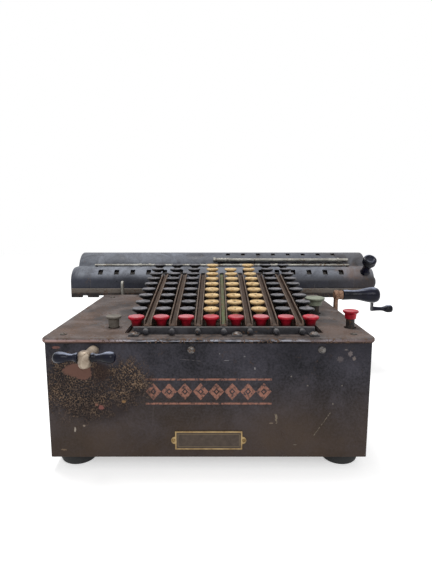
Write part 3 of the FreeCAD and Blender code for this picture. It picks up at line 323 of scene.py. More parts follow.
def makeFinish(name, marks=None, **own):
    look = {**plainLook, **own}
    finishes[name], shader = startMaterial(name)
    tone = useGroup(toneGroup, cloudScale=look["cloudScale"], grainScale=look["grainScale"])
    mixed = tone["clouds"] * (1.0 - look["grainDepth"]) + tone["grain"] * look["grainDepth"]
    layers = {"color": mixNode(mixed, look["dark"], look["pale"]),
              "rough": mixed * (look["rough"][1] - look["rough"][0]) + look["rough"][0],
              "metal": look["metal"], "height": tone["grain"] * 0.5}

    def cover(mask, color, rough=None, metal=None, rise=0.0):
        layers["color"] = mixNode(mask, layers["color"], color)
        if rough is not None:
            layers["rough"] = layers["rough"] * (1.0 - mask) + mask * rough
        if metal is not None:
            layers["metal"] = layers["metal"] * (1.0 - mask) + mask * metal
        if rise:
            layers["height"] += mask * rise

    if look["scratch"]:
        cover(useGroup(scratchGroup, amount=look["scratch"])["mask"], look["scratchColor"], rise=-0.4)
    if marks:
        marks(cover, layers)
    if look["rust"]:
        net = useGroup(rustGroup, netScale=look["netScale"], cover=look["rust"])
        cover(net["mask"], mixNode(net["tone"], look["rustDark"], look["rustPale"]), 0.85, 0.0, 0.6)
    if look["edge"]:
        cover(useGroup(edgeGroup, radius=look["edgeRadius"], amount=look["edge"])["mask"],
              look["edgeColor"], 0.45, look["edgeMetal"])
    # dust on the upward faces; on the black grips and the carriage this layer is also a painted highlight
    if look["dust"]:
        facingUp = useGroup(dustAndSheenGroup, amount=look["dust"], patchScale=look["dustScale"],
                         tilt=look["dustTilt"], full=look["dustFull"])["mask"]
        facingUp = (facingUp * layers.get("dustShare", 1.0)).clamped()
        cover(facingUp, look["dustColor"], 0.95, 0.0, 0.4)
    bump = addNode("ShaderNodeBump", {"Height": layers["height"], "Strength": look["bump"],
                                      "Distance": 0.0006})
    for key, value in {"Base Color": layers["color"], "Roughness": layers["rough"],
                       "Metallic": layers["metal"], "Normal": bump,
                       "Specular IOR Level": look["specular"]}.items():
        feed(shader.inputs[key], value)


# ---- the front panel's own marks: casing x, z, half width, half height, ragged, and a colour for the chips
panelMarks = {
    "rustReach": [(-95, 62, 26, 20, 0.35), (-60, 68, 17, 16, 0.4), (-97, 80, 17, 9, 0.35)],
    "stain": [(-80, 50, 24, 11, 0.3), (-78, 76, 6.5, 6.5, 0.18)],
    "bare": [(-95, 77.5, 10, 5.0, 0.2), (-91, 75, 6, 4.5, 0.2)],
    "chips": [(-78.7, 49.3, 2.0, 1.7, 0.25, (132, 84, 78)), (-62, 53.8, 1.5, 1.1, 0.2, (140, 108, 74)),
              (-82, 51.5, 1.2, 1.0, 0.2, (128, 92, 78)), (-109.5, 94.8, 3.0, 1.0, 0.2, (120, 84, 78)),
              (-98.8, 32, 0.7, 1.9, 0.3, (168, 158, 146)), (-91.9, 35, 0.9, 0.8, 0.3, (140, 126, 112)),
              (33.5, 79, 0.5, 0.9, 0.3, (150, 146, 146)), (12.8, 85, 2.4, 0.3, 0.3, (120, 118, 122)),
              (49.7, 41, 0.8, 3.2, 0.35, (128, 116, 100)), (46, 37, 1.6, 0.5, 0.3, (120, 106, 92)),
              (102, 90, 1.6, 1.9, 0.4, (112, 104, 104)), (105, 86.5, 1.0, 1.6, 0.4, (120, 110, 106)),
              (95, 86, 2.2, 2.0, 0.4, (88, 82, 84)), (99, 93, 1.3, 0.6, 0.4, (104, 98, 98)),
              (60, 73, 0.5, 0.6, 0.3, (128, 122, 116)), (72, 66, 0.6, 0.5, 0.3, (116, 110, 102)),
              (91, 52, 0.5, 0.7, 0.3, (122, 114, 104)), (97, 66, 0.4, 0.5, 0.3, (120, 114, 108)),
              (8, 90, 0.5, 0.4, 0.3, (124, 122, 122)), (26, 88, 0.6, 0.5, 0.3, (114, 112, 114)),
              (-108, 16, 2.5, 0.6, 0.3, (118, 100, 82)), (64, 20, 1.2, 0.4, 0.3, (108, 100, 90))],
    "scrapes": [(78.0, 27.5, 89.6, 45.4, 0.42, (126, 116, 102)),
                (48.6, 44.6, 50.4, 37.6, 0.34, (128, 116, 100)),
                (66.0, 79.0, 84.0, 83.5, 0.3, (30, 29, 34)), (-20.0, 86.0, -6.0, 84.6, 0.25, (96, 92, 94))],
    "ornament": {"x": 0.0, "z": 61.5, "halfLength": 46.0, "halfHeight": 8.4, "lozenge": 11.5,
                 "color": (158, 112, 96)},
}


def markPanel(cover, layers):
    place = objectAxes()

    def spot(x, z, halfX, halfZ, ragged, soft=0.15, fine=2200.0):
        return spotMask(at(x, 0, z), (halfX * mm, 1.0, halfZ * mm), ragged,
                        max(150.0, fine / max(halfX, halfZ)), soft)

    # browner towards the bottom
    low = stepNode(place["Z"], 0.082, 0.02)
    haze = (low * (noiseNode(objectPlace(), 22.0, 6.0, 0.65) + 0.12)).clamped()
    cover(haze, (80, 66, 55), 0.7)
    # cooler and darker along the top, most of all to the right
    cool = stepNode(place["Z"], 0.074, 0.096) * (stepNode(place["X"], -0.02, 0.06) + 0.25)
    cover((cool * 0.42).clamped(), (27, 26, 34))
    # a faded band of lozenges between two rules
    band = panelMarks["ornament"]
    across = (place["X"] - at(band["x"], 0, 0).x) / mm
    upward = (place["Z"] - band["z"] * mm) / mm
    along = abs(mathNode("FRACT", (across + 460.0) / band["lozenge"]) - 0.5)
    tall = abs(upward) / band["halfHeight"]
    lozenge = along * 2.0 + tall * 1.25
    filled = stepNode(lozenge, 1.0, 0.95) * stepNode(lozenge, 0.36, 0.42)
    core = stepNode(lozenge, 0.22, 0.17)
    rules = stepNode(tall, 1.0, 1.03) * stepNode(tall, 1.2, 1.17)
    shape = mathNode("MAXIMUM", mathNode("MAXIMUM", filled, core), rules)
    ends = stepNode(abs(across), band["halfLength"] + 0.2, band["halfLength"] - 0.2)
    rubbed = spotsNode(330.0, 6.0, 0.75, 0.36, 0.56)
    shape = shape * ends * rubbed
    cover(shape * 0.95, band["color"], 0.6)
    # the rust spreads round the handle, darker stains under it
    reach = None
    for x, z, halfX, halfZ, ragged in panelMarks["rustReach"]:
        mask = spot(x, z, halfX, halfZ, ragged, 0.5)
        reach = mask if reach is None else mathNode("MAXIMUM", reach, mask)
    for x, z, halfX, halfZ, ragged in panelMarks["stain"]:
        cover(spot(x, z, halfX, halfZ, ragged, 0.4) * 0.7, (42, 34, 33), 0.7)
    net = useGroup(rustGroup, netScale=520.0, cover=0.84)
    cover(reach * 0.75, (27, 24, 25), 0.8)
    flecks = spotsNode(950.0, 4.0, 0.75, 0.42, 0.62)
    rustColor = mixNode(stepNode(net["tone"], 0.4, 0.6), (94, 80, 71), (144, 120, 98))
    rustColor = mixNode(flecks, (42, 33, 30), rustColor)
    cover(reach * net["mask"], rustColor, 0.85, None, 0.8)
    x, z, halfX, halfZ, ragged = panelMarks["stain"][1]
    cover(spot(x, z, halfX, halfZ, ragged, 0.5) * 0.6, (50, 36, 32), 0.7)
    for x, z, halfX, halfZ, ragged in panelMarks["bare"]:
        cover(spot(x, z, halfX, halfZ, ragged, 0.12, 5000.0), (110, 80, 70), 0.6, None, -0.5)
    for x0, z0, x1, z1, width, color in panelMarks["scrapes"]:
        start, along = at(x0, 0, z0), at(x1, 0, z1) - at(x0, 0, z0)
        away = vectorNode("SUBTRACT", objectPlace(), start[:])
        share = vectorNode("DOT_PRODUCT", away, along[:]) / along.length_squared
        share = mathNode("MINIMUM", mathNode("MAXIMUM", share, 0.0), 1.0)
        foot = addNode("ShaderNodeVectorMath", {0: along[:], "Scale": share}, operation="SCALE")
        flat = vectorNode("MULTIPLY", vectorNode("SUBTRACT", away, foot), (1.0, 0.0, 1.0))
        gap = vectorNode("LENGTH", flat)
        line = stepNode(gap, width * mm, width * mm * 0.4)
        broken = spotsNode(620.0, 4.0, 0.7, 0.4, 0.56)
        cover(line * broken, color, 0.6, None, -0.4)
    for x, z, halfX, halfZ, ragged, color in panelMarks["chips"]:
        cover(spot(x, z, halfX, halfZ, ragged * 1.8) * 0.9, color, 0.6, None, -0.4)


# the top cover's own marks: casing x, y, half width, half depth
coverMarks = {
    "stains": [(-88, 60, 16, 10), (-100, 100, 10, 22), (-84, 128, 14, 16), (96, 46, 10, 14),
               (104, 110, 8, 26), (20, 2, 60, 3), (-76, 12, 20, 5), (-72, 88, 9, 20), (-106, 34, 9, 9),
               (88, 84, 5, 12), (30, 12, 34, 4)],
    "blooms": [(-90, 14, 30, 14), (-104, 60, 9, 40), (100, 20, 18, 20), (-70, 150, 24, 12)],
    # heights over the table, and how far from the middle the wear sets in
    "rim": (101.5, 100.6), "lineFoot": (99.5, 100.1), "lineTop": (101.3, 100.8), "under": (99.7, 99.0),
    "wornEnds": (78.0, 135.0), "copperSide": (0.0, -100.0),
}


def markCover(cover, layers):
    # the rim is worn to a copper brown at both ends, and a rusty bloom lies near its front corners; a painted
    # highlight runs along the rim's upper edge and a painted shadow lies beneath it
    place = objectAxes()
    side = abs(place["X"] - casingX)
    rim = stepAcross(place["Z"], coverMarks["rim"])
    uneven = side + noiseNode(objectPlace(), 26.0, 6.0, 0.7) * 0.07
    ends = stepAcross(uneven, coverMarks["wornEnds"])
    broken = spotsNode(190.0, 5.0, 0.7, 0.3, 0.62)
    cover(rim * 0.92, (14, 14, 18), 0.22)
    # a broken band of painted highlight along the rim's rounded upper edge
    foot = stepAcross(place["Z"], coverMarks["lineFoot"])
    line = foot * stepAcross(place["Z"], coverMarks["lineTop"])
    highlightStretch = addNode("ShaderNodeMapping", {"Vector": objectPlace(), "Scale": (0.16, 1.0, 1.0)})
    paintedHighlight = line * stepNode(noiseNode(highlightStretch, 240.0, 5.0, 0.65), 0.38, 0.56)
    cover(paintedHighlight * 0.95, (186, 188, 200), 0.3)
    worn = rim * ends
    left = stepAcross(place["X"], coverMarks["copperSide"])
    copper = mixNode(left, (112, 92, 88), (176, 142, 134))
    cover(worn * 0.85, copper, 0.34)
    # a painted shadow along the underside of the rim
    under = stepAcross(place["Z"], coverMarks["under"])
    cover(under * 0.85, (12, 11, 13), 0.5)
    for x, y, halfX, halfY in coverMarks["stains"]:
        mask = spotMask(at(x, y, 102), (halfX * mm, halfY * mm, 1.0), 0.8, 90.0, 0.5)
        cover(mask * 0.72, (34, 31, 33), 0.3)
    for x, y, halfX, halfY in coverMarks["blooms"]:
        mask = spotMask(at(x, y, 102), (halfX * mm, halfY * mm, 1.0), 0.6, 60.0, 0.6)
        cover(mask * 0.38, (108, 82, 66), 0.6)


# the carriage's own marks, in mm along the frame's x; the hood by its distance behind the panel
carriageMarks = {
    "blue": (20.0, -190.0), "brown": (90.0, 165.0), "hood": (234, 244), "thinDust": (-85.0, -20.0),
    "rollDust": (-50.0, -120.0), "bloom": (169, 205, 126), "bloomHalf": (16.0, 30.0, 8.0),
}


def markCarriage(cover, layers):
    # bluer and lighter towards the left, a brown bloom near the right end
    place = objectAxes()
    cloud = noiseNode(objectPlace(), 18.0, 6.0, 0.65)
    left = (stepAcross(place["X"], carriageMarks["blue"]) * cloud).clamped()
    cover(left * 0.35, (66, 72, 86))
    right = (stepAcross(place["X"], carriageMarks["brown"]) * cloud).clamped()
    cover(right * 0.55, (84, 70, 60), 0.6)
    # less dust and painted highlight on the right of the hood, more of both along the roll towards the left
    onHood = stepNode(place["Y"], *(at(0, y, 0).y for y in carriageMarks["hood"]))
    thin = onHood * stepAcross(place["X"], carriageMarks["thinDust"])
    onRoll = (1.0 - onHood) * stepAcross(place["X"], carriageMarks["rollDust"])
    layers["dustShare"] = 1.0 + onRoll * 0.55 - thin * 0.42
    half = [size * mm for size in carriageMarks["bloomHalf"]]
    bloom = spotMask(at(*carriageMarks["bloom"]), half, 0.5, 160.0, 0.6)
    cover(bloom * 0.6, (122, 92, 70), 0.7)


def markRedKey(cover, layers):
    # darker towards the lower part of each key, unevenly
    height = objectAxes()["Z"]
    patchy = noiseNode(objectPlace(), 240.0, 5.0, 0.7) + 0.35
    low = (stepNode(height, 0.1098, 0.1052) * patchy).clamped()
    cover(low, (44, 12, 16), 0.7)


def markRail(cover, layers):
    # lighter above: dust and painted light falling from above; black below: painted shade on the lower half
    low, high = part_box("shift_rail")
    height = objectAxes()["Z"]
    middle = (low.z + high.z) / 2
    cover(stepNode(height, middle + 0.001, middle - 0.001) * 0.85, (18, 17, 18), 0.5)
    cover(stepNode(height, middle, middle + 0.002) * 0.5, (128, 121, 112), 0.8)


def markPlate(cover, layers):
    # brass border, dark stained field
    place = objectAxes()
    low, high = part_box("maker_plate")
    middle = (low + high) / 2
    halfZ = (high.z - low.z) / 2
    across = abs(place["X"] - middle.x)
    upward = abs(place["Z"] - middle.z)
    inner = stepNode(across, 0.024, 0.0237) * stepNode(upward, halfZ - 0.0009, halfZ - 0.0012)
    ruleX = stepNode(across, 0.0224, 0.0226) * stepNode(across, 0.0231, 0.0229)
    beyond = stepNode(upward, halfZ - 0.0028, halfZ - 0.0026)
    ruleZ = beyond * stepNode(upward, halfZ - 0.0021, halfZ - 0.0023)
    inside = stepNode(across, 0.0231, 0.0229) * stepNode(upward, halfZ - 0.0021, halfZ - 0.0023)
    rule = mathNode("MAXIMUM", ruleX, ruleZ) * inside
    field = mixNode(noiseNode(objectPlace(), 300.0, 5.0, 0.7), (52, 45, 42), (98, 86, 76))
    field = mixNode(rule * 0.55, field, (128, 112, 88))
    cover(inner, field, 0.6, 0.2, -0.6)


# ---- finishes, by the name used on the pieces
makeFinish("frontPaint", markPanel, dark=(8, 8, 12), pale=(74, 72, 80), rust=0.1, netScale=420.0,
           rustDark=(48, 40, 38), rustPale=(86, 70, 60), cloudScale=26.0, grainDepth=0.38,
           grainScale=560.0, edge=0.6, edgeColor=(96, 80, 68), scratch=0.2, rough=(0.34, 0.6),
           scratchColor=(98, 94, 94), specular=0.13)
makeFinish("casingPaint", dark=(14, 14, 18), pale=(78, 72, 72), rust=0.34, netScale=480.0,
           rustDark=(56, 45, 40), rustPale=(98, 77, 62), edge=0.6, edgeColor=(100, 82, 68), scratch=0.3,
           rough=(0.36, 0.62), cloudScale=12.0, specular=0.15, dust=0.3)
makeFinish("coverPaint", markCover, dark=(38, 35, 36), pale=(122, 113, 111), rust=0.34, netScale=300.0,
           rustDark=(62, 51, 46), rustPale=(122, 98, 82), grainDepth=0.35, specular=0.04, edge=0.5,
           edgeColor=(150, 128, 116), edgeRadius=0.0012, dust=0.26, dustColor=(126, 118, 114),
           dustScale=26.0, scratch=0.4, rough=(0.24, 0.5), scratchColor=(146, 138, 130), cloudScale=46.0)
# on the carriage the light colour on upward faces is partly dust and partly a painted highlight, strongest
# along the top of the roll
makeFinish("carriagePaint", markCarriage, dark=(14, 15, 22), pale=(58, 60, 72), dust=0.9,
           dustColor=(134, 138, 147), dustTilt=0.2, dustFull=0.75, edge=0.5, rust=0.1, grainDepth=0.35,
           dustScale=45.0, rustDark=(66, 54, 46), rustPale=(110, 88, 70), edgeColor=(124, 108, 96),
           scratch=0.3, rough=(0.24, 0.44), cloudScale=13.0, specular=0.26)
makeFinish("endPaint", markCarriage, dark=(14, 15, 22), pale=(58, 60, 72), rust=0.16, netScale=260.0,
           rustDark=(60, 50, 44), rustPale=(104, 86, 72), dustTilt=0.2, dustFull=0.75, dustScale=45.0,
           grainDepth=0.35, specular=0.26, edge=0.7, edgeColor=(132, 116, 102), dust=0.8,
           rough=(0.24, 0.44), dustColor=(130, 134, 142), cloudScale=13.0)
makeFinish("plateBrass", markPlate, dark=(128, 104, 70), pale=(178, 154, 112), metal=0.75,
           rough=(0.35, 0.55), cloudScale=120.0, bump=0.2)
makeFinish("railSteel", markRail, dark=(40, 37, 37), pale=(104, 95, 90), metal=0.2, rust=0.28,
           rustDark=(66, 52, 46), rustPale=(112, 90, 74), edge=0.8, edgeColor=(128, 118, 110), dust=0.6,
           cloudScale=40.0)
makeFinish("rustedSteel", dark=(20, 16, 16), pale=(86, 66, 56), metal=0.1, rust=0.5,
           rustDark=(58, 42, 37), rustPale=(112, 84, 66), netScale=420.0, edge=0.6,
           edgeColor=(112, 88, 76), dust=0.6, cloudScale=130.0, dustScale=200.0, rough=(0.5, 0.8))
makeFinish("darkSteel", dark=(38, 37, 38), pale=(74, 70, 68), metal=0.5, rust=0.3, edge=0.6, dust=0.5,
           cloudScale=60.0)
makeFinish("barPaint", dark=(14, 14, 18), pale=(70, 69, 74), rust=0.15, edge=1.0,
           edgeColor=(120, 120, 122), dust=0.6, cloudScale=60.0, dustColor=(120, 117, 114),
           rough=(0.24, 0.44))
makeFinish("keyboardDust", dark=(16, 14, 14), pale=(76, 66, 60), rust=0.4, dust=0.6,
           dustColor=(104, 96, 88), dustScale=130.0, dustTilt=0.55, netScale=500.0, rustDark=(50, 38, 33),
           rustPale=(110, 84, 66), cloudScale=150.0, rough=(0.6, 0.95), bump=0.6)
makeFinish("rodRust", dark=(24, 19, 18), pale=(78, 62, 54), rust=0.45, netScale=600.0,
           rustDark=(44, 32, 28), rustPale=(96, 72, 58), cloudScale=120.0, dust=0.5,
           dustColor=(106, 94, 84), dustScale=220.0, dustTilt=0.6, rough=(0.6, 0.9), bump=0.5)
makeFinish("frameIron", dark=(44, 43, 45), pale=(78, 76, 76), metal=0.6, rust=0.3, edge=0.6, dust=0.4,
           cloudScale=26.0, rough=(0.4, 0.62))
makeFinish("agedNickel", dark=(106, 90, 76), pale=(188, 174, 156), metal=0.45, rust=0.22,
           rustDark=(96, 76, 62), rustPale=(140, 118, 98), edge=0.4, edgeColor=(200, 190, 176),
           cloudScale=110.0, rough=(0.3, 0.55))
makeFinish("screwSteel", dark=(44, 43, 46), pale=(128, 124, 122), metal=0.5, rust=0.3, edge=0.9,
           edgeColor=(184, 176, 168), cloudScale=240.0, rough=(0.24, 0.5))
makeFinish("rodSteel", dark=(112, 110, 104), pale=(190, 188, 180), metal=0.5, rust=0.25, cloudScale=60.0,
           rough=(0.35, 0.6), dust=0.4, dustColor=(176, 172, 162))
makeFinish("crankSteel", dark=(84, 64, 52), pale=(150, 118, 98), metal=0.35, rust=0.35,
           rustPale=(140, 104, 80), edge=0.5, edgeColor=(184, 164, 148), cloudScale=50.0,
           rough=(0.38, 0.6))
makeFinish("agedBrass", dark=(110, 88, 56), pale=(176, 150, 104), metal=0.8, rust=0.2, cloudScale=70.0,
           rough=(0.32, 0.5))
# the light bluish colour on the upper faces of the grips and the knob is a painted highlight
makeFinish("blackGrip", dark=(2, 3, 8), pale=(18, 20, 40), cloudScale=60.0, grainScale=700.0,
           rough=(0.08, 0.22), specular=0.17, scratch=0.4, scratchColor=(70, 72, 84), dust=0.95,
           dustColor=(176, 184, 206), dustTilt=0.7, dustScale=90.0, bump=0.08)
makeFinish("blackKey", dark=(7, 7, 9), pale=(24, 24, 28), cloudScale=110.0, rough=(0.2, 0.42), dust=1.0,
           dustColor=(148, 146, 151), dustTilt=0.6, dustScale=160.0, specular=0.24)
makeFinish("ivoryKey", dark=(176, 140, 88), pale=(238, 210, 162), cloudScale=140.0, grainDepth=0.15,
           rough=(0.34, 0.56), edge=0.35, edgeColor=(150, 108, 62), edgeMetal=0.0, dust=0.2,
           dustColor=(170, 150, 120), bump=0.06)
makeFinish("redKey", markRedKey, dark=(128, 16, 28), pale=(196, 30, 52), cloudScale=110.0,
           grainDepth=0.15, rough=(0.26, 0.46), edge=0.3, edgeColor=(96, 22, 26), edgeMetal=0.0, dust=0.8,
           dustColor=(208, 152, 158), dustTilt=0.6, bump=0.06)
makeFinish("greyKey", dark=(78, 74, 68), pale=(124, 118, 110), cloudScale=100.0, dust=0.5,
           dustColor=(136, 130, 120), edge=0.4)
makeFinish("greenKey", dark=(96, 102, 90), pale=(142, 148, 130), cloudScale=100.0, dust=0.6,
           dustColor=(160, 164, 150), edge=0.4, edgeColor=(120, 108, 92))
makeFinish("keyInk", dark=(34, 40, 30), pale=(60, 66, 46), cloudScale=200.0)
makeFinish("keyChalk", dark=(92, 90, 88), pale=(138, 134, 128), cloudScale=200.0)
makeFinish("rodGreen", dark=(44, 66, 40), pale=(92, 122, 76), cloudScale=140.0, rust=0.5, dust=0.6,
           dustColor=(128, 120, 104), edge=0.6)
makeFinish("dialWhite", dark=(78, 76, 76), pale=(132, 130, 128), cloudScale=90.0, rough=(0.4, 0.6),
           dust=0.3)
makeFinish("dialInk", dark=(14, 14, 14), pale=(30, 30, 30), cloudScale=200.0)
print("finishes made:", len(finishes))
# the feet keep the frame's own rubber
finishes["rubber"] = bpy.data.materials["rubber"]


# ---- mesh helpers
def meshFrom(name, form):
    mesh = bpy.data.meshes.new(name)
    form.to_mesh(mesh)
    form.free()
    return mesh


def linked(name, data):
    made = bpy.data.objects.new(name, data)
    scene.collection.objects.link(made)
    return made


def shownMesh(thing):
    # the object's mesh with its modifiers worked out
    bpy.context.view_layer.update()
    return bpy.data.meshes.new_from_object(thing.evaluated_get(bpy.context.evaluated_depsgraph_get()))


def smoothLine(points, cuts=4):
    # a curve through (along, radius) pairs; a pair written twice keeps its corner
    line = []
    last = len(points) - 1
    low, high = ([pick(point[j] for point in points) for j in (0, 1)] for pick in (min, max))
    for i in range(last):
        a, b, c, d = (points[max(i - 1, 0)], points[i], points[i + 1], points[min(i + 2, last)])
        if b == c:
            continue
        for k in range(cuts):
            t = k / cuts
            bent = [0.5 * (2 * b[j] + (c[j] - a[j]) * t + (2 * a[j] - 5 * b[j] + 4 * c[j] - d[j]) * t * t
                           + (3 * b[j] - a[j] - 3 * c[j] + d[j]) * t ** 3) for j in (0, 1)]
            line.append(tuple(min(max(bent[j], low[j]), high[j]) for j in (0, 1)))
    line.append(points[-1])
    return line


def latheMesh(name, line, steps=40):
    # turned about z, in millimetres, closed at both ends
    form = bmesh.new()
    rings = []
    for along, radius in line:
        if radius < 0.01:
            rings.append([form.verts.new((0, 0, along * mm))])
        else:
            rings.append([form.verts.new((radius * mm * math.cos(math.tau * k / steps),
                                          radius * mm * math.sin(math.tau * k / steps), along * mm))
                          for k in range(steps)])
    for one, two in zip(rings, rings[1:]):
        for k in range(steps):
            corners = [one[k % len(one)], one[(k + 1) % len(one)], two[(k + 1) % len(two)], two[k % len(two)]]
            kept = [v for i, v in enumerate(corners) if v not in corners[:i]]
            if len(kept) > 2:
                form.faces.new(kept)
    for ring, flip in ((rings[0], True), (rings[-1], False)):
        if len(ring) > 1:
            form.faces.new(list(reversed(ring)) if flip else ring)
    bmesh.ops.recalc_face_normals(form, faces=form.faces)
    return meshFrom(name, form)


def aimed(origin, direction):
    # puts something modelled along z at a place and in a direction
    return Matrix.Translation(origin) @ Vector(direction).to_track_quat("Z", "Y").to_matrix().to_4x4()


def joinMeshes(name, parts):
    form = bmesh.new()
    for mesh in parts:
        form.from_mesh(mesh)
    return meshFrom(name, form)


def placedCopy(mesh, place):
    copy = mesh.copy()
    copy.transform(place)
    return copy


def cadCopy(node):
    # the frame's loose triangles joined into clean faces
    form = bmesh.new()
    form.from_mesh(nodes[node].data)
    bmesh.ops.remove_doubles(form, verts=form.verts, dist=2e-6)
    bmesh.ops.dissolve_limit(form, angle_limit=math.radians(0.4), verts=form.verts, edges=form.edges)
    return meshFrom(node + ".copy", form)


def addPiece(name, mesh, body, finishNames, replacing=(), sharp=32.0, bevel=0.0):
    piece = linked(name, mesh)
    if finishNames:
        mesh.materials.clear()
        for finishName in finishNames:
            mesh.materials.append(finishes[finishName])
    mesh.shade_smooth()
    mesh.set_sharp_from_angle(angle=math.radians(sharp))
    if bevel:
        made = piece.modifiers.new("softEdge", "BEVEL")
        made.width = bevel * mm
        made.segments = 2
        made.limit_method = "ANGLE"
        made.angle_limit = math.radians(40)
        made.harden_normals = True
    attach(piece, body)
    if replacing:
        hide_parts(*replacing)
    return piece


# ---- geometry node helpers
def runTree(name, tree, values, base=None):
    # the tree's result as a plain mesh
    host = linked(name + ".host", base or bpy.data.meshes.new(name + ".base"))
    modifier = host.modifiers.new("make", "NODES")
    modifier.node_group = tree
    for item in tree.interface.items_tree:
        if item.item_type == "SOCKET" and item.in_out == "INPUT" and item.name in values:
            modifier[item.identifier] = values[item.name]
    mesh = shownMesh(host)
    host.modifiers.clear()
    bpy.data.objects.remove(host)
    mesh.name = name
    return mesh


def patternObject(name, mesh):
    # a hidden shape that the trees repeat; it never shows itself
    return bpy.data.objects.new(name, mesh)


def pointMesh(name, points):
    mesh = bpy.data.meshes.new(name)
    mesh.from_pydata([tuple(p) for p in points], [], [])
    return mesh


def finished(geometry, finish):
    real = addNode("GeometryNodeRealizeInstances", {0: geometry})
    return addNode("GeometryNodeSetMaterial", {"Geometry": real, "Material": finish})


def instanceBranch(points, shape, finish, **turned):
    # turned may hold the instances' Rotation and Scale
    info = addNode("GeometryNodeObjectInfo", {"Object": shape, "As Instance": True})
    spread = addNode("GeometryNodeInstanceOnPoints", {"Points": points, "Instance": info["Geometry"],
                                                      **turned})
    return finished(spread, finish)


# ---- casing and other plain castings: a clean copy of each with softened edges
castings = {
    # node: piece name, slot, finish, bevel in mm
    "front_panel": ("frontPanel", "casing_paint", "frontPaint", 0.25),
    "casing_shell": ("casingShell", "casing_paint", "casingPaint", 0.25),
    "base_plate": ("basePlate", "dark_steel", "darkSteel", 0.2),
    "top_cover": ("topCover", "cover_paint", "coverPaint", 0.3),
    "maker_plate": ("frontPlate", "brass", "plateBrass", 0.12),
    "key_sections": ("keySections", "rusted_steel", "rustedSteel", 0.15),
    "decimal_rod_supports": ("rodSupports", "dark_steel", "barPaint", 0.25),
    "side_frames": ("sideFrames", "frame_iron", "frameIron", 0.3),
    "shift_shaft": ("shiftShaft", "nickel", "agedNickel", 0.2),
    "catch_lever": ("catchLever", "nickel", "rodSteel", 0.25),
    "carriage_cover": ("carriageCover", "carriage_paint", "carriagePaint", 0.15),
    "carriage_ends": ("carriageEnds", "carriage_paint", "endPaint", 0.4),
    "shift_rail": ("shiftRail", "rusted_steel", "railSteel", 0.3),
    "marker_rods": ("markerRods", "nickel", "rodSteel", 0.1),
    "lower_markers": ("lowerMarkers", "nickel", "rodSteel", 0.1),
    "upper_markers": ("upperMarkers", "nickel", "rodSteel", 0.1),
    "slide_rod": ("slideRod", "nickel", "rodSteel", 0.3),
    "main_crank": ("crankArm", "nickel", "crankSteel", 0.25),
    "clear_crank": ("clearCrankArm", "dark_steel", "barPaint", 0.2),
}
for node, (name, slotName, finishName, bevel) in castings.items():
    addPiece(name, cadCopy(node), nodes[node]["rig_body"], [finishName], [node], bevel=bevel)
print("castings done:", len(castings))

# inner parts keep their own shape and get a finish
innerParts = {
    "key_plate": "keyboardDust", "key_guide_plate": "darkSteel", "frame_rods": "frameIron",
    "drum_shaft": "rodSteel", "stepped_drums": "agedBrass", "transfer_gears": "agedBrass",
    "lower_dials": "dialWhite", "upper_dials": "dialWhite", "upper_dial_shaft": "rodSteel",
}
for node, finishName in innerParts.items():
    nodes[node].data.materials.clear()
    nodes[node].data.materials.append(finishes[finishName])

# ---- numerals, as small flat meshes
numeralSettings = {"keySize": 6.4, "dialSize": 6.6, "keyLift": 0.15, "dialLift": 0.08}


def numeralMesh(text, size, resolution=2):
    curve = bpy.data.curves.new("numeral", "FONT")
    curve.body = text
    curve.size = size * mm
    curve.align_x = "CENTER"
    curve.align_y = "CENTER"
    curve.resolution_u = resolution
    letter = linked("numeral", curve)
    mesh = shownMesh(letter)
    bpy.data.objects.remove(letter)
    form = bmesh.new()
    form.from_mesh(mesh)
    bmesh.ops.triangulate(form, faces=form.faces)
    form.to_mesh(mesh)
    form.free()
    middleX = sum(v.co.x for v in mesh.vertices) / len(mesh.vertices)
    lowY = min(v.co.y for v in mesh.vertices)
    highY = max(v.co.y for v in mesh.vertices)
    mesh.transform(Matrix.Translation((-middleX, -(lowY + highY) / 2, 0)))
    return mesh


keyNumerals = {n: numeralMesh(str(n), numeralSettings["keySize"]) for n in range(1, 10)}

# ---- keys
keySettings = {
    "pitch": 19.05, "rowPitch": 15.875, "rowRise": 2.75, "firstColumn": -55.475, "firstRow": 38.975,
    "firstTop": 115.9, "redRow": 23.1, "redTop": 112.9, "rows": 9, "travel": 4.5, "pressedColumn": 5,
    "dish": 0.82, "stemGap": 5.0, "redStemGap": 8.0,
    "pressedRow": 9, "stemFoot": 86.0, "stemHalf": (0.9, 3.0), "ivoryColumns": (4, 5, 6),
    "capLine": [(-5.0, 0), (-5.0, 0), (-5.0, 2.6), (-5.0, 2.6), (-3.9, 3.1), (-2.6, 5.0), (-1.9, 6.0),
                (-1.1, 6.24), (-0.5, 6.1), (-0.1, 5.6), (-0.08, 5.3), (-0.42, 4.6), (-0.66, 3.4),
                (-0.82, 1.6), (-0.86, 0)],
    "redLine": [(-8.0, 0), (-8.0, 0), (-8.0, 3.55), (-8.0, 3.55), (-6.4, 3.6), (-4.6, 3.95), (-3.2, 4.75),
                (-2.2, 5.8), (-1.7, 6.15), (-1.1, 6.24), (-0.5, 6.1), (-0.1, 5.6), (-0.08, 5.3),
                (-0.35, 4.4), (-0.62, 3.0), (-0.76, 0)],
}


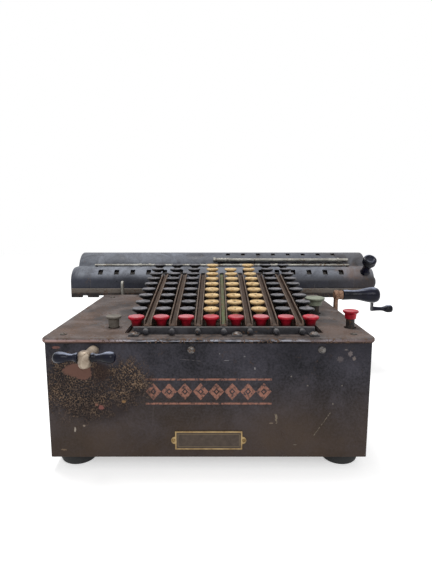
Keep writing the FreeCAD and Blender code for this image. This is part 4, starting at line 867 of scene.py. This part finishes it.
def keyBankTree():
    tree, given, result = newTree("keyBank", {"Rows": 9, "Row Pitch": 0.0159, "Row Rise": 0.00275,
        "Start": (0.0, 0.0, 0.0), "Pressed Row": 0, "Travel": 0.0045, "Stem Foot": 0.086, "Stem Gap": 0.005,
        "Cap": "Object", "Stem": "Object", "Cap Finish": "Material", "Stem Finish": "Material"})
    offset = addNode("ShaderNodeCombineXYZ", {"Y": given["Row Pitch"], "Z": given["Row Rise"]})
    line = addNode("GeometryNodeMeshLine", {"Count": given["Rows"], "Start Location": given["Start"],
                                            "Offset": offset}, mode="OFFSET")
    index = addNode("GeometryNodeInputIndex")
    pressed = addNode("FunctionNodeCompare", {2: index + 1.0, 3: given["Pressed Row"]}, data_type="INT",
                      operation="EQUAL")
    down = addNode("ShaderNodeCombineXYZ", {"Z": given["Travel"] * -1.0})
    points = addNode("GeometryNodeSetPosition", {"Geometry": line, "Selection": pressed, "Offset": down})
    caps = instanceBranch(points, given["Cap"], given["Cap Finish"])
    lower = addNode("ShaderNodeCombineXYZ", {"Z": given["Stem Gap"] * -1.0})
    lowered = addNode("GeometryNodeSetPosition", {"Geometry": points, "Offset": lower})
    place = addNode("ShaderNodeSeparateXYZ", {0: addNode("GeometryNodeInputPosition")})
    # the stem's shape is one millimetre long
    length = (place["Z"] - given["Stem Foot"]) * 1000.0
    scale = addNode("ShaderNodeCombineXYZ", {"X": 1.0, "Y": 1.0, "Z": length})
    stems = instanceBranch(lowered, given["Stem"], given["Stem Finish"], Scale=scale)
    both = addNode("GeometryNodeJoinGeometry")
    for part in (caps, stems):
        feed(both.socket.node.inputs[0], part)
    feed(result[0], both)
    return tree


def stemMesh():
    # one millimetre of flat steel, hanging down from the origin, its edges broken
    form = bmesh.new()
    bmesh.ops.create_cube(form, size=1)
    halfX, halfY = keySettings["stemHalf"]
    bmesh.ops.scale(form, verts=form.verts, vec=(2 * halfX * mm, 2 * halfY * mm, mm))
    bmesh.ops.translate(form, verts=form.verts, vec=(0, 0, -mm / 2))
    upright = [e for e in form.edges if abs(e.verts[0].co.z - e.verts[1].co.z) > 0.5 * mm]
    bmesh.ops.bevel(form, geom=upright, offset=0.25 * mm, segments=2, affect="EDGES", profile=0.5)
    return meshFrom("keyStem", form)


bankTree = keyBankTree()
capShape = patternObject("capShape", latheMesh("capShape", smoothLine(keySettings["capLine"], 3), 32))
redShape = patternObject("redShape", latheMesh("redShape", smoothLine(keySettings["redLine"], 3), 32))
stemShape = patternObject("stemShape", stemMesh())
for column in range(1, 9):
    k = keySettings
    x = k["firstColumn"] + (column - 1) * k["pitch"]
    ivory = column in k["ivoryColumns"]
    common = {"Stem": stemShape, "Stem Finish": finishes["darkSteel"],
              "Stem Foot": k["stemFoot"] * mm}
    bank = runTree(f"digitKeys{column}", bankTree, {
        **common, "Rows": k["rows"], "Row Pitch": k["rowPitch"] * mm, "Row Rise": k["rowRise"] * mm,
        "Start": at(x, k["firstRow"], k["firstTop"])[:], "Travel": k["travel"] * mm,
        "Stem Gap": k["stemGap"] * mm,
        "Pressed Row": k["pressedRow"] if column == k["pressedColumn"] else 0,
        "Cap": capShape, "Cap Finish": finishes["ivoryKey" if ivory else "blackKey"]})
    addPiece(f"digitKeys{column}", bank, f"digit_keys_{column}", None,
             [f"digit_keys_{column}"])
    red = runTree(f"columnClearKey{column}", bankTree, {
        **common, "Rows": 1, "Start": at(x, k["redRow"], k["redTop"])[:], "Stem Gap": k["redStemGap"] * mm,
        "Cap": redShape, "Cap Finish": finishes["redKey"]})
    addPiece(f"columnClearKey{column}", red, f"column_clear_key_{column}", None,
             [f"column_clear_key_{column}"])
    marks = []
    for row in range(1, k["rows"] + 1):
        top = k["firstTop"] + (row - 1) * k["rowRise"] - k["dish"] + numeralSettings["keyLift"]
        if column == k["pressedColumn"] and row == k["pressedRow"]:
            top -= k["travel"]
        marks.append(placedCopy(keyNumerals[row], Matrix.Translation(
            at(x, k["firstRow"] + (row - 1) * k["rowPitch"], top))))
    addPiece(f"keyNumerals{column}", joinMeshes(f"keyNumerals{column}", marks), f"digit_keys_{column}",
             ["keyInk" if ivory else "keyChalk"])

functionKeys = {
    # piece: node, place, cap radius, stem radius, depth, stem foot, finish, slot
    "modeKey": ("mode_key", (-74.525, 30.4, 111.5), 6.0, 3.0, 9.0, 86.0, "greyKey", "key_grey"),
    "keyboardClearKey": ("keyboard_clear_key", (110.2, 29.5, 116.0), 6.1, 3.3, 6.6, 92.5, "redKey",
                         "key_red"),
    "repeatKey": ("repeat_key", (94.0, 82.3, 116.7), 9.0, 4.4, 7.0, 86.0, "greenKey", "key_grey"),
}
for name, (node, place, radius, stem, deep, foot, finishName, slotName) in functionKeys.items():
    neck = stem + (1.8 if node == "repeat_key" else 0.9)
    line = smoothLine([(-deep, 0), (-deep, 0), (-deep, neck), (-deep, neck), (-deep * 0.62, neck + 0.25),
                       (-2.8, max(radius - 1.7, neck + 0.4)), (-2.0, radius - 0.5), (-1.3, radius - 0.02),
                       (-0.5, radius - 0.1), (-0.1, radius - 0.7),
                       (-0.08, radius - 1.0), (-0.4, radius * 0.7), (-0.66, radius * 0.4), (-0.78, 0)], 4)
    cap = latheMesh(name, line, 40)
    cap.materials.append(finishes[finishName])
    length = place[2] - deep - foot
    shaft = latheMesh(name + "Stem", [(-length, 0), (-length, stem - 0.3), (-length + 0.3, stem), (0, stem),
                                      (0, 0)], 32)
    shaft.transform(Matrix.Translation((0, 0, -deep * mm)))
    both = joinMeshes(name, [cap, shaft])
    both.materials.append(finishes[finishName])
    both.materials.append(finishes["darkSteel"])
    split = (-deep - 0.01) * mm
    for face in both.polygons:
        face.material_index = 1 if face.center.z < split else 0
    both.transform(Matrix.Translation(at(*place)))
    addPiece(name, both, node, None, [node])
print("keys done")

# ---- turned handles, knob and feet
turnedParts = {
    # piece: node, origin, direction, line, steps, finish, slot
    "crankGrip": ("crank_grip", (129.3, 115.77, 112.9), (1, 0, 0), [
        (0, 0), (0, 0), (0, 4.6), (0.4, 4.9), (4.2, 4.8), (8.5, 4.6), (12.7, 4.8), (16.6, 5.4), (20.5, 6.3),
        (24.4, 7.1), (28.0, 7.6), (30.8, 7.5), (33.3, 6.6), (34.7, 5.0), (35.3, 2.8), (35.4, 0)],
        48, "blackGrip", "black_wood"),
    "clearGrip": ("clear_grip", (198.5, 221.375, 77.3), (1, 0, 0), [
        (0, 0), (0, 0), (0, 2.5), (0.7, 2.8), (4.8, 2.5), (10.1, 2.4), (13.0, 2.9), (15.4, 3.9), (18.0, 4.6),
        (21.1, 4.6), (23.0, 3.9), (23.9, 2.2), (24.0, 0)], 40, "blackGrip", "black_wood"),
}
for name, (node, origin, direction, line, steps, finishName, slotName) in turnedParts.items():
    mesh = latheMesh(name, smoothLine(line, 4), steps)
    mesh.transform(aimed(at(*origin), direction))
    addPiece(name, mesh, nodes[node]["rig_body"], [finishName], [node], sharp=50)

# the shift handle: a nickel hub with a black grip on each side
handleSettings = {
    "place": (-81.9, -23.6, 93.0), "gripRise": 2.0,
    "hubLine": [(-5.2, 0), (-5.2, 2.0), (-4.9, 2.9), (-4.2, 3.6), (-2.8, 4.2), (-1.2, 4.38), (2.6, 4.38),
                (4.2, 4.2), (5.4, 3.6), (6.2, 2.6), (6.4, 1.6), (6.4, 0)],
    "gripLine": [(3.0, 2.0), (4.5, 2.0), (4.5, 2.0), (4.5, 2.9), (4.5, 2.9), (5.2, 3.2), (5.9, 3.1),
                 (7.6, 2.45), (9.2, 2.4), (11.2, 2.7), (14.0, 3.6), (17.0, 3.9), (19.0, 3.5), (20.3, 2.5),
                 (20.85, 1.1), (20.9, 0)],
    "neckLine": [(0, 4.0), (20.6, 4.0), (20.6, 4.0), (21.8, 3.8), (22.6, 3.3), (23.0, 2.8)],
}
h = handleSettings
hub = latheMesh("handleHub", smoothLine(h["hubLine"], 4), 40)
hub.transform(aimed(at(*h["place"]), (0, 0, 1)))
neck = latheMesh("handleNeck", smoothLine(h["neckLine"], 3), 40)
neck.transform(aimed(at(*h["place"]), (0, 1, 0)))
grips = []
for side in (-1, 1):
    grip = latheMesh("handleGrip", smoothLine(h["gripLine"], 4), 40)
    grip.transform(aimed(at(h["place"][0], h["place"][1], h["place"][2] + h["gripRise"]), (side, 0, 0)))
    grips.append(grip)
addPiece("handleHub", joinMeshes("handleHub", [hub, neck]), "shift_handle", ["agedNickel"],
         sharp=50)
addPiece("handleGrips", joinMeshes("handleGrips", grips), "shift_handle", ["blackGrip"],
         ["shift_handle"], sharp=50)


# ---- knob with a ribbed rim, feet
def ribTree():
    # pushes a turned shape in and out round its axis, only between two heights
    tree, given, result = newTree("ribbedRim", {"Ribs": 40, "Depth": 0.0003, "Low": 0.0, "High": 0.01,
                                                "Finish": "Material"})
    place = addNode("ShaderNodeSeparateXYZ", {0: addNode("GeometryNodeInputPosition")})
    angle = mathNode("ARCTAN2", place["Y"], place["X"])
    wave = mathNode("COSINE", angle * given["Ribs"]) - 1.0
    above = mathNode("GREATER_THAN", place["Z"], given["Low"])
    inside = above * mathNode("LESS_THAN", place["Z"], given["High"])
    push = wave * given["Depth"] * inside
    flat = addNode("ShaderNodeCombineXYZ", {"X": place["X"], "Y": place["Y"]})
    outward = addNode("ShaderNodeVectorMath", {0: flat}, operation="NORMALIZE")
    offset = addNode("ShaderNodeVectorMath", {0: outward, "Scale": push}, operation="SCALE")
    moved = addNode("GeometryNodeSetPosition", {"Geometry": given["Geometry"], "Offset": offset})
    feed(result[0], finished(moved, given["Finish"]))
    return tree


knobSettings = {
    "x": 182.0, "roll": (221.375, 110.7, 18.1), "angle": 43.0, "ribs": 36, "ribDepth": 0.28,
    "line": [(-2.4, 0), (-2.4, 2.0), (0.3, 2.0), (0.3, 2.0), (0.3, 5.5), (1.2, 5.4), (2.4, 4.8), (6.0, 4.6),
             (10.0, 4.8), (13.0, 5.4), (15.5, 6.8), (16.6, 7.4), (17.2, 7.5), (21.8, 7.5), (22.6, 7.4),
             (23.2, 6.9), (23.7, 6.0), (23.7, 5.0), (23.2, 4.4), (23.2, 4.4), (23.2, 0)],
}
ribbed = ribTree()
s = knobSettings
lean = math.radians(s["angle"])
rollY, rollZ, rollRadius = s["roll"]
seat = at(s["x"], rollY - rollRadius * math.sin(lean), rollZ + rollRadius * math.cos(lean))
knobBase = latheMesh("carriageKnob", smoothLine(s["line"], 2), 216)
knob = runTree("carriageKnob", ribbed, {
    "Ribs": s["ribs"], "Depth": s["ribDepth"] * mm / 2, "Low": 17.0 * mm, "High": 22.9 * mm,
    "Finish": finishes["blackGrip"]}, knobBase)
knob.transform(aimed(seat, (0, -math.sin(lean), math.cos(lean))))
addPiece("carriageKnob", knob, "carriage", ["blackGrip"], ["carriage_knob"], sharp=50)

footSettings = {
    "places": [(-102.3, 19.0), (102.3, 19.0), (-102.3, 257.975), (102.3, 257.975)],
    "line": [(12.0, 0), (12.0, 13.6), (11.6, 14.1), (9.0, 14.3), (4.6, 14.2), (1.8, 13.6), (0.5, 12.6),
             (0.0, 11.2), (0.0, 6.4), (0.0, 6.4), (0.6, 5.6), (4.4, 5.2), (4.4, 5.2), (4.4, 0)],
}
foot = latheMesh("foot", smoothLine(footSettings["line"], 3), 48)
lowFeet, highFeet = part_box("rubber_feet")
feet = [placedCopy(foot, Matrix.Translation(at(x, y, 0))) for x, y in footSettings["places"]]
addPiece("rubberFeet", joinMeshes("rubberFeet", feet), "casing", ["rubber"], ["rubber_feet"],
         sharp=45)
print("handles, knob and feet done; feet", round(lowFeet.z / mm, 2), round(highFeet.z / mm, 2))


# ---- screws with slots
def slottedHead(radius, height, slotWidth, slotDepth, steps=28):
    dome = latheMesh("head", smoothLine([(-0.6, 0), (-0.6, 0), (-0.6, radius * 0.97), (-0.6, radius * 0.97),
                                         (0.0, radius), (height * 0.45, radius * 0.88),
                                         (height * 0.82, radius * 0.55), (height, 0)], 3), steps)
    cutter = bmesh.new()
    bmesh.ops.create_cube(cutter, size=1)
    bmesh.ops.scale(cutter, verts=cutter.verts, vec=(radius * 4 * mm, slotWidth * mm, slotDepth * 2 * mm))
    bmesh.ops.translate(cutter, verts=cutter.verts, vec=(0, 0, height * mm))
    slotMesh = meshFrom("slot", cutter)
    whole = linked("headWhole", dome)
    tool = linked("headTool", slotMesh)
    cut = whole.modifiers.new("slot", "BOOLEAN")
    cut.object = tool
    cut.operation = "DIFFERENCE"
    mesh = shownMesh(whole)
    bpy.data.objects.remove(whole)
    bpy.data.objects.remove(tool)
    return mesh


def screwTree():
    # one slotted head at each point, turned at random about its own axis
    tree, given, result = newTree("screwSet", {"Head": "Object", "Tilt": (0.0, 0.0, 0.0), "Seed": 4,
                                               "Finish": "Material"})
    spin = addNode("FunctionNodeRandomValue", {"Seed": given["Seed"], 2: 0.0, 3: math.pi},
                   data_type="FLOAT")
    turn = addNode("ShaderNodeCombineXYZ", {"Z": spin[1]})
    own = addNode("FunctionNodeEulerToRotation", {0: turn})
    tilt = addNode("FunctionNodeEulerToRotation", {0: given["Tilt"]})
    rotation = addNode("FunctionNodeRotateRotation", {0: tilt, 1: own}, rotation_space="LOCAL")
    points = addNode("GeometryNodeMeshToPoints", {0: given["Geometry"]})
    feed(result[0], instanceBranch(points, given["Head"], given["Finish"], Rotation=rotation))
    return tree


screwSettings = {
    # set: head radius, height, slot width, slot depth, tilt about x in degrees, finish, places
    "front": (2.9, 1.5, 0.7, 0.8, 90, "screwSteel", [(-12.4, 0, 93), (81.5, 0, 93)]),
    "cover": (2.6, 1.1, 0.6, 0.7, 0, "darkSteel",
              [(-106.7, 9, 102.1), (106.7, 9, 102.1), (-106.7, 162, 102.1), (112, 162, 102.1)]),
    "bar": (3.2, 1.7, 0.8, 0.9, 0, "screwSteel",
            [(-54.175, 5.7, 103.3), (20.725, 5.7, 103.3), (76.575, 5.7, 103.3)]),
    "plate": (1.4, 0.8, 0.35, 0.4, 90, "agedBrass", [(-26.2, -0.8, 23.7), (26.2, -0.8, 23.7)]),
}
screws = screwTree()
for name, (radius, height, width, depth, tilt, finishName, places) in screwSettings.items():
    head = patternObject(name + "Head", slottedHead(radius, height, width, depth))
    made = runTree(name + "Screws", screws, {
        "Head": head, "Tilt": (math.radians(tilt), 0.0, 0.0), "Finish": finishes[finishName]},
        pointMesh(name + "Points", [at(*place) for place in places]))
    addPiece(name + "Screws", made, "casing", None)
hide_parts("casing_screws")


# ---- decimal rods with slotted knobs, and a small spring behind each knob
rodSettings = {
    "count": 7, "front": (10.5, 105.3), "slope": 9.83, "green": 4, "springRadius": 2.35, "wire": 0.42,
    "turns": 4.0, "length": 3.6,
}


def springTree():
    tree, given, result = newTree("coilSprings", {"Radius": 0.0024, "Length": 0.0036, "Turns": 4.0,
                                                  "Wire": 0.0004, "Tilt": (0.0, 0.0, 0.0),
                                                  "Finish": "Material"})
    coil = addNode("GeometryNodeCurveSpiral", {"Resolution": 14, "Rotations": given["Turns"],
                                               "Start Radius": given["Radius"],
                                               "End Radius": given["Radius"], "Height": given["Length"]})
    ring = addNode("GeometryNodeCurvePrimitiveCircle", {"Resolution": 6, "Radius": given["Wire"]})
    wire = addNode("GeometryNodeCurveToMesh", {"Curve": coil, "Profile Curve": ring, "Fill Caps": True})
    points = addNode("GeometryNodeMeshToPoints", {0: given["Geometry"]})
    tilt = addNode("FunctionNodeEulerToRotation", {0: given["Tilt"]})
    spread = addNode("GeometryNodeInstanceOnPoints", {"Points": points, "Instance": wire,
                                                      "Rotation": tilt})
    feed(result[0], finished(spread, given["Finish"]))
    return tree


r = rodSettings
slope = math.radians(r["slope"])
rodDirection = Vector((0, math.cos(slope), math.sin(slope)))
knobHead = slottedHead(2.0, 0.7, 0.55, 0.6, 24)
springStarts = []
for i in range(1, r["count"] + 1):
    x = keySettings["firstColumn"] + (i - 0.5) * keySettings["pitch"]
    start = at(x, *r["front"])
    face = placedCopy(knobHead, aimed(start - rodDirection * 5.4 * mm,
                                      -rodDirection) @ Matrix.Rotation(i * 0.9, 4, "Z"))
    node = f"decimal_rod_{i}"
    green = i == r["green"]
    rod = joinMeshes(f"decimalRod{i}", [cadCopy(node), face])
    addPiece(f"decimalRod{i}", rod, node, ["rodGreen" if green else "rodRust", "barPaint"],
             [node])
    for part in rod.polygons:
        part.material_index = 1 if part.center.y < start.y else 0
    springStarts.append(start + rodDirection * 1.6 * mm)
springs = runTree("rodSprings", springTree(), {
    "Radius": r["springRadius"] * mm, "Length": r["length"] * mm, "Turns": r["turns"], "Wire": r["wire"] * mm,
    "Tilt": (slope - math.pi / 2, 0.0, 0.0), "Finish": finishes["rustedSteel"]},
    pointMesh("springPoints", springStarts))
addPiece("rodSprings", springs, "casing", None)
print("decimal rods done")

# ---- numerals wrapped round the dials
dialSettings = {
    # set: first dial, count, axis y and z, radius, angle of the window from straight up, body
    "lower": (0, 16, 221.375, 110.7, 13.3, 41.0, "lower_dials"),
    "upper": (8, 8, 255.775, 125.6, 15.2, 22.0, "upper_dials"),
    "firstDial": -131.675, "faceMiddle": -0.5,
}
dialNumerals = {n: numeralMesh(str(n), numeralSettings["dialSize"], 1) for n in range(10)}
for name in ("lower", "upper"):
    first, count, axisY, axisZ, radius, windowAngle, body = dialSettings[name]
    form = bmesh.new()
    for dial in range(first, first + count):
        x = dialSettings["firstDial"] + dial * keySettings["pitch"] + dialSettings["faceMiddle"]
        for n in range(10):
            turn = math.radians(windowAngle) - n * math.tau / 10
            mesh = dialNumerals[n].copy()
            for v in mesh.vertices:
                # up on the numeral runs up and back round the dial
                angle = turn - v.co.y / (radius * mm)
                out = (radius + numeralSettings["dialLift"]) * mm
                v.co = at(x, axisY, axisZ) + Vector((v.co.x, -out * math.sin(angle), out * math.cos(angle)))
            form.from_mesh(mesh)
            bpy.data.meshes.remove(mesh)
    joined = meshFrom(name + "DialNumerals", form)
    addPiece(name + "DialNumerals", joined, body, ["dialInk"])
print("dial numerals done")

# ---- camera, floor and light
studio = {"floorSize": 4.0, "floorColor": shade(246, 246, 246), "floorGlow": 0.5, "world": 0.48,
          "topLamp": (8.5, 0.45, 1.25), "frontLamp": (7.0, 0.8, 1.5)}
camera = bpy.data.objects.new("camera", bpy.data.cameras.new("camera"))
camera.location = (-0.0228, -0.42509, 0.1848)
camera.rotation_euler = (math.radians(81.2), 0, 0)
camera.data.sensor_fit = "VERTICAL"
camera.data.sensor_height = 36
camera.data.lens = 26.97
camera.data.clip_start = 0.01
scene.collection.objects.link(camera)
scene.camera = camera


def backgroundShare():
    # 1 for what the camera, a mirror or glass sees
    path = addNode("ShaderNodeLightPath")
    seen = mathNode("MAXIMUM", path["Is Camera Ray"], path["Is Glossy Ray"])
    return mathNode("MAXIMUM", seen, path["Is Transmission Ray"])


floorMesh = bpy.data.meshes.new("floor")
half = studio["floorSize"] / 2
floorMesh.from_pydata([(-half, -half, 0), (half, -half, 0), (half, half, 0), (-half, half, 0)], [],
                      [(0, 1, 2, 3)])
floor = linked("floor", floorMesh)
floorPaint, floorShader = startMaterial("floorPaint")
for key, value in {"Base Color": studio["floorColor"], "Roughness": 0.9, "Specular IOR Level": 0.1,
                   "Emission Strength": backgroundShare() * studio["floorGlow"],
                   "Emission Color": (1, 1, 1, 1)}.items():
    feed(floorShader.inputs[key], value)
floorMesh.materials.append(floorPaint)

world = bpy.data.worlds.new("studio")
scene.world = world
world.use_nodes = True
work["tree"] = world.node_tree
background = world.node_tree.nodes["Background"]
feed(background.inputs["Color"], (1, 1, 1, 1))
extraWhite = backgroundShare() * (1.0 - studio["world"])
feed(background.inputs["Strength"], extraWhite + studio["world"])


def addLamp(name, place, target, power, size):
    lamp = bpy.data.objects.new(name, bpy.data.lights.new(name, "AREA"))
    lamp.data.shape = "SQUARE"
    lamp.data.size = size
    lamp.data.energy = power
    lamp.location = place
    lamp.rotation_euler = (Vector(target) - Vector(place)).to_track_quat("-Z", "Y").to_euler()
    scene.collection.objects.link(lamp)


power, size, height = studio["topLamp"]
addLamp("topLamp", (-0.2, 0.15, height), (0, 0, 0.1), power, size)
power, size, away = studio["frontLamp"]
addLamp("frontLamp", (0.35, -away, 1.1), (0, 0, 0.1), power, size)
scene.view_settings.view_transform = "Standard"
print("studio done")
